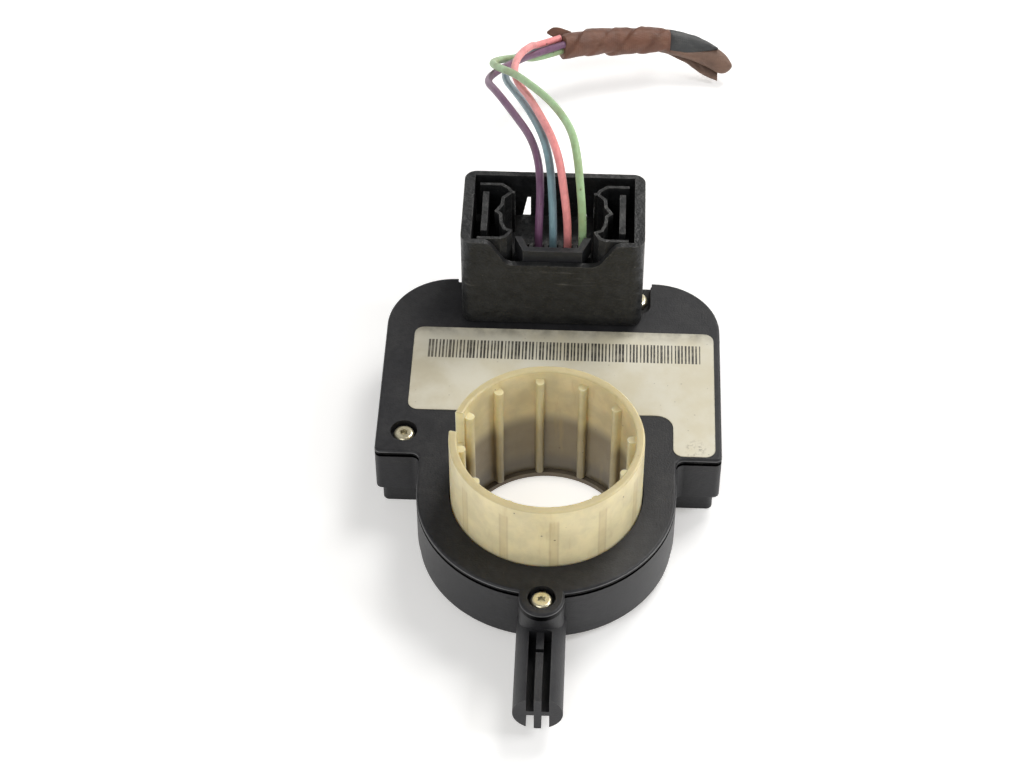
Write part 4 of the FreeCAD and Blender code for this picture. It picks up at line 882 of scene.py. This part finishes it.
@dataclass(frozen=True)
class Lacquer(Finish):
    """The circuit board's lacquer over copper tracks."""

    track: Colour
    pitch: float = 620.0
    coat_weight: float = 0.3

    def surface(self, coat: Coat) -> dict:
        """Give the shader's inputs.

        Args:
            coat: The material's nodes.

        Returns:
            Values and sockets by input name.
        """
        inputs = {"Vector": coat.place, "Scale": self.pitch}
        cells = coat.add("ShaderNodeTexVoronoi", inputs, distance="CHEBYCHEV")
        tracks = coat.spread(cells.outputs["Distance"], 0.36, 0.4)
        base = coat.mix(tracks, self.colour, self.track)
        return {
            "Base Color": coat.layered(base, (BOARD_DUST, coat.mask(Effect.DUST, amount=0.15))),
            "Roughness": coat.spread(tracks, 0.0, 1.0, 0.28, 0.36),
            "Coat Weight": self.coat_weight,
            "Normal": coat.bumped(tracks, 0.00004),
        }


CASING_BLACK = CasingMoulding(
    "casing_black", srgb(27, 27, 30), roughness=0.46, edge_amount=0.16, scuff_amount=0.05,
    dust_amount=0.08, fleck_amount=0.08,
)
PLUG_BLACK = Moulding(
    "plug_black", srgb(25, 26, 27), srgb(112, 110, 106), roughness=0.4, grain_scale=1500.0,
    edge_amount=0.55, scuff_amount=0.6, dust_amount=0.16, fleck_amount=0.12, mottle=0.35,
    dent_depth=0.0006, shelter=0.95,
)
RETAINER_GREY = Moulding(
    "retainer_grey", srgb(32, 33, 36), roughness=0.46, edge_amount=0.35, scuff_amount=0.12,
    dust_amount=0.1,
)
SOCKET_BLACK = Moulding("socket_black", srgb(44, 45, 47), roughness=0.5)
CHIP_BLACK = Moulding(
    "chip_black", srgb(34, 34, 36), roughness=0.58, grain_scale=5200.0, scuff_amount=0.02,
    dust_amount=0.08,
)
GEAR_WHITE = Moulding(
    "gear_white", srgb(222, 218, 202), srgb(238, 236, 228), roughness=0.36, grain_depth=0.00001,
    scuff_amount=0.05, dust_amount=0.1,
)
CAPACITOR_TAN = Moulding(
    "capacitor_tan", srgb(168, 138, 102), srgb(196, 190, 178), grain_scale=5200.0,
    dust_amount=0.05,
)
RESISTOR_DARK = Moulding(
    "resistor_dark", srgb(40, 42, 48), srgb(190, 190, 186), grain_scale=5200.0,
    dust_amount=0.05,
)
COLLAR_CREAM = MilkyMoulding(
    "collar_cream", srgb(240, 228, 184), srgb(112, 88, 68), srgb(200, 176, 120)
)
SCREW_ZINC = Plated("screw_zinc", (0.93, 0.87, 0.64), (0.8, 0.72, 0.5))
PIN_TIN = Plated("pin_tin", (0.78, 0.77, 0.74), (0.6, 0.58, 0.54), roughness=0.34)
CRYSTAL_CAN = Plated("crystal_can", (0.76, 0.76, 0.76), (0.62, 0.62, 0.6), roughness=0.26)
MAGNET_DARK = Plated("magnet_dark", (0.24, 0.24, 0.25), (0.16, 0.16, 0.17), roughness=0.48)
BOARD_GREEN = Lacquer("board_green", srgb(28, 88, 52), srgb(52, 118, 70))
LABEL_WHITE = LabelFilm("label_white", srgb(221, 216, 198), srgb(213, 205, 180))
TAPE_BROWN = ClothTape("tape_brown", srgb(116, 75, 56), srgb(140, 106, 84))
SLEEVE_GREY = ClothTape("sleeve_grey", srgb(70, 71, 71), srgb(96, 94, 90), roughness=0.46)
TAPE_TAIL = ClothTape("tape_tail", srgb(124, 96, 80), srgb(146, 116, 98), roughness=0.56)

NODE_FINISHES: dict[str, Finish] = {
    "top_cover": CASING_BLACK,
    "lower_housing": CASING_BLACK,
    "rotor_collar": COLLAR_CREAM,
    "measuring_gear_a": GEAR_WHITE,
    "measuring_gear_b": GEAR_WHITE,
    "magnet_a": MAGNET_DARK,
    "magnet_b": MAGNET_DARK,
    "circuit_board": BOARD_GREEN,
    "field_sensor_chips": CHIP_BLACK,
    "microcontroller": CHIP_BLACK,
    "bus_transceiver": CHIP_BLACK,
    "voltage_regulator": CHIP_BLACK,
    "quartz_crystal": CRYSTAL_CAN,
    "chip_capacitors": CAPACITOR_TAN,
    "chip_resistors": RESISTOR_DARK,
    "board_socket": SOCKET_BLACK,
    "contact_pins": PIN_TIN,
    "plug_housing": PLUG_BLACK,
    "plug_retainer": RETAINER_GREY,
    "wire_terminals": PIN_TIN,
    "cover_screws": SCREW_ZINC,
    "type_label": LABEL_WHITE,
}


@dataclass
class Studio:
    """The camera of the photograph, soft lamps and a pale floor."""

    place: Point = (0.009168, -0.372259, 0.458853)
    right: Point = (0.9991, 0.0425, -0.0031)
    up: Point = (-0.0291, 0.7336, 0.679)
    focal_pixels: float = 2447.8
    lamp_aim: Point = (0.0, 0.03, 0.01)
    floor_size: float = 6.0
    floor_level: float = -0.00002
    floor_lift: float = 0.31
    # glow of the painted pool of light on the floor inside the collar's bore
    bore_painted_glow: float = 0.78
    glow_tint: Colour = (1.0, 0.975, 0.93)

    def camera(self) -> None:
        """Set up the camera where the photograph was taken from."""
        data = bpy.data.cameras.new("camera")
        data.sensor_width = 36.0
        data.lens = self.focal_pixels / FRAME_WIDTH * data.sensor_width
        data.clip_start = 0.01
        right = Vector(self.right).normalized()
        up = (Vector(self.up) - Vector(self.up).dot(right) * right).normalized()
        turned = Matrix((right, up, right.cross(up))).transposed().to_4x4()
        camera = linked("camera", data)
        camera.matrix_world = Matrix.Translation(self.place) @ turned
        bpy.context.scene.camera = camera

    def lamp(self, name: str, place: Point, size: float, watts: float, tint: Colour) -> None:
        """Add one square lamp that looks at the object.

        Args:
            name: The lamp's name.
            place: Where it hangs.
            size: Length of its side.
            watts: Its power.
            tint: Its colour.
        """
        data = bpy.data.lights.new(name, "AREA")
        data.size = size
        data.energy = watts
        data.color = tint
        lamp = linked(name, data)
        lamp.location = place
        aim = Vector(self.lamp_aim) - Vector(place)
        lamp.rotation_euler = aim.to_track_quat("-Z", "Y").to_euler()

    def floor(self) -> None:
        """Lay the pale floor that keeps the object's shadow, with a painted pool of light inside
        the collar's bore.
        """
        mesh = bpy.data.meshes.new("floor")
        reach = self.floor_size / 2
        corners = [(-reach, -reach), (reach, -reach), (reach, reach), (-reach, reach)]
        mesh.from_pydata([(x, y, self.floor_level) for x, y in corners], [], [(0, 1, 2, 3)])
        made = bpy.data.materials.new("floor_white")
        graph = Graph(cleared(made))
        colour = graph.mix(graph.noise(4.0, 2.0, 0.5), (0.93, 0.93, 0.935), (0.955, 0.955, 0.955))
        matt = graph.add("ShaderNodeBsdfDiffuse", {"Color": colour})
        far = graph.vector("LENGTH", graph.place)["Value"]
        # the floor inside the collar's bore glows brighter: a painted pool of light
        lift = graph.spread(far, 0.018, 0.026, self.bore_painted_glow, self.floor_lift)
        path = graph.add("ShaderNodeLightPath").outputs
        seen = graph.math("MAXIMUM", path["Is Camera Ray"], path["Is Glossy Ray"])
        inputs = {"Color": opaque(self.glow_tint), "Strength": graph.times(lift, seen)}
        glow = graph.add("ShaderNodeEmission", inputs)
        both = graph.add("ShaderNodeAddShader", {0: matt.outputs[0], 1: glow.outputs[0]})
        graph.add("ShaderNodeOutputMaterial", {"Surface": both.outputs[0]})
        mesh.materials.append(made)
        linked("floor", mesh)

    def light(self) -> None:
        """Light the object softly, mostly from the back right."""
        scene = bpy.context.scene
        scene.view_settings.view_transform = "Standard"
        scene.world = bpy.data.worlds.new("room")
        graph = Graph(cleared(scene.world))
        path = graph.add("ShaderNodeLightPath").outputs
        seen = graph.math("MAXIMUM", path["Is Camera Ray"], path["Is Transmission Ray"])
        heading = graph.add("ShaderNodeTexCoord").outputs["Generated"]
        glow = graph.spread(graph.axes(heading)["Z"], 0.05, 0.6, 1.2, 0.2)
        shades = [
            graph.add("ShaderNodeBackground", {"Color": opaque(WHITE), "Strength": strength})
            for strength in (glow, 1.0)
        ]
        inputs = {0: seen, 1: shades[0].outputs[0], 2: shades[1].outputs[0]}
        mixed = graph.add("ShaderNodeMixShader", inputs)
        graph.add("ShaderNodeOutputWorld", {"Surface": mixed.outputs[0]})
        self.lamp("window_lamp", (0.42, 0.62, 1.0), 0.5, 6.8, (1.0, 0.985, 0.96))
        self.lamp("side_lamp", (0.85, 0.0, 0.75), 0.3, 3.6, WHITE)
        self.lamp("front_lamp", (-0.35, -0.7, 0.9), 0.6, 3.4, (0.97, 0.985, 1.0))


class Surface:
    """A closed mesh that is built ring by ring."""

    def __init__(self, name: str) -> None:
        """Start an empty mesh of that name."""
        self.name = name
        self.mesh = bmesh.new()

    def tube(self, rings: Sequence[Sequence[Vector]]) -> None:
        """Join rings of points into a closed tube with both ends filled.

        Args:
            rings: Rings with the same number of points each.
        """
        rows = [[self.mesh.verts.new(point) for point in ring] for ring in rings]
        for near, far in zip(rows, rows[1:]):
            count = len(near)
            for index in range(count):
                following = (index + 1) % count
                self.mesh.faces.new((near[index], near[following], far[following], far[index]))
        for row, flip in ((rows[0], True), (rows[-1], False)):
            middle = self.mesh.verts.new(sum((vert.co for vert in row), Vector()) / len(row))
            for index, vert in enumerate(row):
                other = row[(index + 1) % len(row)]
                self.mesh.faces.new((other, vert, middle) if flip else (vert, other, middle))

    def finish(self, finish: Finish, effects: EffectLibrary) -> bpy.types.Object:
        """Turn the mesh into an object with a finish.

        Args:
            finish: The finish to lay on it.
            effects: The shared surface effects.

        Returns:
            The new object.
        """
        bmesh.ops.recalc_face_normals(self.mesh, faces=self.mesh.faces)
        data = bpy.data.meshes.new(self.name)
        self.mesh.to_mesh(data)
        self.mesh.free()
        for face in data.polygons:
            face.use_smooth = True
        data.materials.append(finish.material(effects))
        return linked(self.name, data)


def metres(route: Sequence[Point]) -> list[Point]:
    """Turn a route in millimetres into one in metres."""
    return [(x * MM, y * MM, z * MM) for x, y, z in route]


def add_spline(data: bpy.types.Curve, points: Sequence[Point], steps: int) -> None:
    """Add one smooth spline to a curve.

    Args:
        data: The curve.
        points: Control points, in metres.
        steps: How finely the spline is drawn.
    """
    spline = data.splines.new("NURBS")
    spline.points.add(len(points) - 1)
    for point, place in zip(spline.points, points):
        point.co = (*place, 1.0)
    spline.order_u = 3
    spline.use_endpoint_u = True
    spline.resolution_u = steps


def spline_line(points: Sequence[Point], steps: int) -> list[Vector]:
    """Read points from the smooth spline that a route's points control.

    Args:
        points: The route's points, in metres.
        steps: How finely the spline is read.

    Returns:
        Points along the spline, from its start to its end.
    """
    data = bpy.data.curves.new("measured_line", "CURVE")
    data.dimensions = "3D"
    add_spline(data, points, steps)
    holder = bpy.data.objects.new("measured_line", data)
    mesh = bpy.data.meshes.new_from_object(holder)
    line = [vert.co.copy() for vert in mesh.vertices]
    bpy.data.objects.remove(holder)
    bpy.data.meshes.remove(mesh)
    bpy.data.curves.remove(data)
    return line


def framed(line: Sequence[Vector]) -> list[tuple[Vector, Vector, Vector, float]]:
    """Give each point of a line two directions square to it.

    Args:
        line: Points along the line.

    Returns:
        For each point: the point, a direction up, one sideways and the length so far.
    """
    frames = []
    length = 0.0
    for index, point in enumerate(line):
        before = line[max(index - 1, 0)]
        after = line[min(index + 1, len(line) - 1)]
        along = (after - before).normalized()
        side = along.cross(Vector((0.0, 0.0, 1.0))).normalized()
        length += (point - before).length
        frames.append((point, side.cross(along).normalized(), side, length))
    return frames


@dataclass(frozen=True)
class Wire:
    """One wire: its length in metres, its finish and its route in millimetres."""

    length: float
    finish: Insulation
    route: tuple[Point, ...]

    @property
    def node(self) -> str:
        """Name the node that the wire stands for, which its finish is named after."""
        return self.finish.name


WIRES: tuple[Wire, ...] = (
    Wire(
        0.1333,
        Insulation("wire_purple", srgb(110, 72, 102), srgb(92, 60, 74), 0.55),
        (
            (-4.1, 62.5, 37.0), (-4.1, 62.5, 44.5), (-3.8, 66.3, 51.5), (-4.3, 73.5, 55.6),
            (-6.6, 85.0, 54.0), (-11.5, 98.6, 49.9), (-16.8, 111.4, 46.6), (-20.0, 122.4, 40.5),
            (-18.0, 133.0, 34.9), (-12.5, 149.0, 25.8), (-7.4, 162.4, 17.5), (-0.3, 167.4, 16.6),
        ),
    ),
    Wire(
        0.1385,
        Insulation("wire_blue", srgb(116, 146, 154), srgb(98, 112, 112), 0.55),
        (
            (-0.5, 62.5, 37.0), (-0.5, 62.5, 44.8), (-0.9, 65.6, 53.0), (-1.7, 71.6, 58.1),
            (-3.5, 81.8, 57.2), (-7.2, 98.5, 50.5), (-11.7, 116.7, 41.5), (-16.0, 135.0, 31.0),
            (-15.5, 153.7, 21.2), (-11.1, 163.7, 16.6), (-5.8, 167.3, 15.6), (-2.1, 169.8, 15.1),
        ),
    ),
    Wire(
        0.1401,
        Insulation("wire_pink", srgb(232, 144, 142), srgb(196, 112, 116), 0.4),
        (
            (3.1, 62.5, 37.0), (3.1, 62.5, 45.5), (2.1, 64.4, 54.4), (0.7, 70.2, 60.2),
            (-1.6, 79.5, 59.8), (-4.4, 90.0, 56.6), (-7.9, 104.6, 50.5), (-11.6, 115.8, 45.9),
            (-13.0, 127.6, 41.1), (-11.7, 139.0, 36.5), (-8.5, 152.5, 28.5), (-9.0, 164.4, 18.0),
            (-1.6, 169.5, 17.1),
        ),
    ),
    Wire(
        0.148,
        Insulation("wire_green", srgb(158, 190, 142), srgb(142, 152, 104), 0.7),
        (
            (6.7, 62.5, 37.0), (6.7, 62.5, 46.5), (6.0, 64.0, 56.2), (5.0, 69.4, 62.2),
            (3.6, 78.0, 62.2), (1.0, 87.5, 59.4), (-2.9, 97.4, 56.3), (-7.8, 106.8, 52.9),
            (-12.5, 117.1, 47.9), (-17.4, 126.9, 41.6), (-19.3, 135.2, 36.2), (-16.6, 145.9, 28.6),
            (-12.0, 156.3, 20.7), (-8.0, 162.5, 15.2), (-0.7, 167.7, 14.3),
        ),
    ),
)


@dataclass(frozen=True)
class Fold:
    """A flattened fold of tape between two edge lines.

    The lines and the thickness are in millimetres, the crumples' depth in metres.
    """

    over: tuple[Point, ...]
    under: tuple[Point, ...]
    thickness: float
    around: int = 28
    steps: int = 14
    crumple: float = 0.00022
    crumples: float = 380.0

    def rings(self) -> list[list[Vector]]:
        """Shape the fold, a little crumpled.

        Returns:
            The fold's outline, ring by ring.
        """
        tops = spline_line(metres(self.over), self.steps)
        feet = spline_line(metres(self.under), self.steps)
        middles = [(top + foot) / 2 for top, foot in zip(tops, feet)]
        rings = []
        for index, (top, middle) in enumerate(zip(tops, middles)):
            rise = top - middle
            along = middles[min(index + 1, len(middles) - 1)] - middles[max(index - 1, 0)]
            deep = rise.cross(along).normalized() * self.thickness * MM / 2
            ring = []
            for number in range(self.around):
                angle = math.tau * number / self.around
                heading = Vector((math.cos(angle), math.sin(angle), 0.0))
                out = rise * heading.x + deep * heading.y
                bulge = self.crumple * noise.noise(middle * self.crumples + heading)
                ring.append(middle + out + out.normalized() * bulge)
            rings.append(ring)
        return rings


SLEEVE_FOLD = Fold(
    over=(
        (27.3, 179.6, 13.4), (32.5, 179.4, 12.7), (36.0, 179.0, 11.8), (39.2, 178.3, 10.9),
        (41.8, 177.5, 9.8), (43.2, 176.8, 9.0),
    ),
    under=(
        (27.5, 174.6, 8.6), (32.7, 174.4, 8.0), (36.1, 174.6, 7.7), (39.3, 175.2, 7.9),
        (41.8, 176.0, 8.4), (43.4, 176.4, 8.6),
    ),
    thickness=3.4,
)
NEAR_FOLD = Fold(
    over=(
        (26.9, 176.0, 9.3), (31.2, 175.6, 8.4), (35.5, 175.9, 8.2), (38.7, 176.6, 8.6),
        (41.3, 177.1, 8.8), (43.1, 177.3, 8.7), (44.7, 176.6, 7.9), (46.5, 175.4, 6.6),
        (47.4, 174.2, 5.4),
    ),
    under=(
        (26.9, 175.0, 8.4), (31.3, 174.8, 7.7), (35.6, 174.1, 6.6), (38.5, 173.5, 5.7),
        (41.1, 172.8, 4.8), (43.0, 172.1, 3.9), (44.6, 171.9, 3.6), (46.4, 172.3, 3.8),
        (47.4, 173.1, 4.4),
    ),
    thickness=3.6,
)
LOW_FOLD = Fold(
    over=(
        (26.9, 177.6, 8.5), (33.9, 176.2, 6.5), (36.8, 175.6, 5.7), (39.2, 175.2, 5.0),
        (41.8, 174.4, 4.0), (43.6, 173.5, 3.0),
    ),
    under=(
        (27.0, 176.6, 7.7), (34.0, 174.9, 5.3), (36.6, 173.7, 4.0), (38.7, 172.7, 2.8),
        (41.3, 171.9, 1.8), (43.6, 171.4, 1.2),
    ),
    thickness=0.7,
)
EAR_FOLD = Fold(
    over=(
        (1.4, 173.1, 16.8), (-1.2, 173.6, 17.4), (-2.9, 173.7, 17.6), (-4.2, 173.7, 17.6),
        (-5.4, 172.7, 16.7),
    ),
    under=(
        (1.4, 171.4, 15.3), (-1.1, 171.6, 15.6), (-2.8, 171.6, 15.6), (-4.2, 171.7, 15.8),
        (-5.5, 172.3, 16.4),
    ),
    thickness=0.8,
)
TAPE_ROUTE = ((-1.2, 168.3, 15.3), (5.3, 171.8, 13.8), (17.0, 175.5, 12.1), (29.4, 177.1, 11.0))


@dataclass
class Harness:
    """The four wires, and the tape, sleeve and loose tail that hold them together."""

    effects: EffectLibrary
    wire_diameter: float = 0.00198
    wire_steps: int = 10
    tape_radius: float = 0.0044
    tape_step: float = 0.0008
    tape_pitch: float = 0.016
    tape_phase: float = 0.675
    tape_steps: int = 30
    tape_around: int = 56
    tape_slant: float = 0.05
    second_lap: float = 0.46
    lap_edge: float = 18.0
    crease_depth: float = 0.00026
    creases: float = 420.0
    pinch_depth: float = 0.0004
    end_draw: float = 0.0006
    pieces: list[bpy.types.Object] = field(default_factory=list)

    def wire(self, wire: Wire) -> bpy.types.Object:
        """Run one wire as a smooth round curve.

        Args:
            wire: The wire to run.

        Returns:
            The wire's curve.
        """
        data = bpy.data.curves.new(wire.node + "_run", "CURVE")
        data.dimensions = "3D"
        data.bevel_depth = self.wire_diameter / 2
        data.bevel_resolution = 5
        data.use_fill_caps = True
        add_spline(data, metres(wire.route), self.wire_steps)
        data.materials.append(wire.finish.material(self.effects))
        run = linked(wire.node + "_run", data)
        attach(run, Body.CASING.value)
        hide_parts(wire.node)
        return run

    def step(self, turns: float) -> float:
        """Give how far one lap of tape stands off, which is most just past its edge."""
        lap = turns % 1.0
        return self.tape_step * (1.0 - lap) * min(1.0, lap * self.lap_edge)

    def wrap(self) -> bpy.types.Object:
        """Wind the cloth tape: each turn laps over the one before it.

        Returns:
            The tape's piece.
        """
        rings = []
        frames = framed(spline_line(metres(TAPE_ROUTE), self.tape_steps))
        total = frames[-1][3]
        core = self.tape_radius - 1.5 * self.tape_step
        for point, up, side, length in frames:
            drawn_in = math.exp(-length / 0.004) + math.exp((length - total) / 0.003)
            pinch = self.pinch_depth * math.exp(-length / 0.003)
            ring = []
            for index in range(self.tape_around):
                angle = math.tau * index / self.tape_around
                out = up * math.cos(angle) + side * math.sin(angle)
                turns = length / self.tape_pitch + index / self.tape_around + self.tape_phase
                turns += self.tape_slant * math.sin(angle)
                step = self.step(turns) + 0.5 * self.step(turns + self.second_lap)
                step += self.crease_depth * noise.noise(point * self.creases + out * 1.4)
                step += pinch * math.sin(angle * 3 + 0.6) - self.end_draw * drawn_in
                ring.append(point + out * (core + step))
            rings.append(ring)
        tubes = rings, EAR_FOLD.rings()
        return self.mounted("tape_wrap_wound", tubes, TAPE_BROWN, "tape_wrap")

    def mounted(
        self, name: str, tubes: Sequence[list], finish: Finish, node: str
    ) -> bpy.types.Object:
        """Build a piece from tubes, and let it ride on the casing in place of a node.

        Args:
            name: The piece's name.
            tubes: Each tube's rings.
            finish: The piece's finish.
            node: The node that it stands for.

        Returns:
            The piece.
        """
        surface = Surface(name)
        for rings in tubes:
            surface.tube(rings)
        piece = surface.finish(finish, self.effects)
        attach(piece, Body.CASING.value)
        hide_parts(node)
        self.pieces.append(piece)
        LOG.info("built %s with %d faces", piece.name, len(piece.data.polygons))
        return piece

    def build(self) -> None:
        """Build the tape, the dark sleeve and the loose tail, then the wires that carry them."""
        self.wrap()
        sleeve = (SLEEVE_FOLD.rings(),)
        self.mounted("cable_sleeve_drawn", sleeve, SLEEVE_GREY, "cable_sleeve")
        tail = NEAR_FOLD.rings(), LOW_FOLD.rings()
        self.mounted("tape_tail_loose", tail, TAPE_TAIL, "tape_tail")
        for number, wire in enumerate(WIRES):
            run = self.wire(wire)
            LOG.info("ran %s, %.1f mm long", run.name, wire.length / MM)


@dataclass
class Mouldings:
    """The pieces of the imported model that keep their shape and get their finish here."""

    effects: EffectLibrary

    def dress(self, node: str, finish: Finish) -> None:
        """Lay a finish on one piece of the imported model.

        Args:
            node: The piece's name.
            finish: Its finish.
        """
        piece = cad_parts[node]
        made = finish.material(self.effects)
        for place in piece.material_slots:
            place.material = made
        if not piece.material_slots:
            piece.data.materials.append(made)
        LOG.info("dressed %s in %s", node, finish.name)

    def build(self) -> None:
        """Dress every piece in turn."""
        for node, finish in NODE_FINISHES.items():
            self.dress(node, finish)


def main() -> None:
    """Set up the camera and the wires, dress every piece and light the scene."""
    logging.basicConfig(level=logging.INFO, format="%(name)s: %(message)s")
    effects = EffectLibrary()
    studio = Studio()
    studio.camera()
    Harness(effects).build()
    Mouldings(effects).build()
    studio.floor()
    studio.light()
    LOG.info("scene is built")


if __name__ == "__main__":
    main()
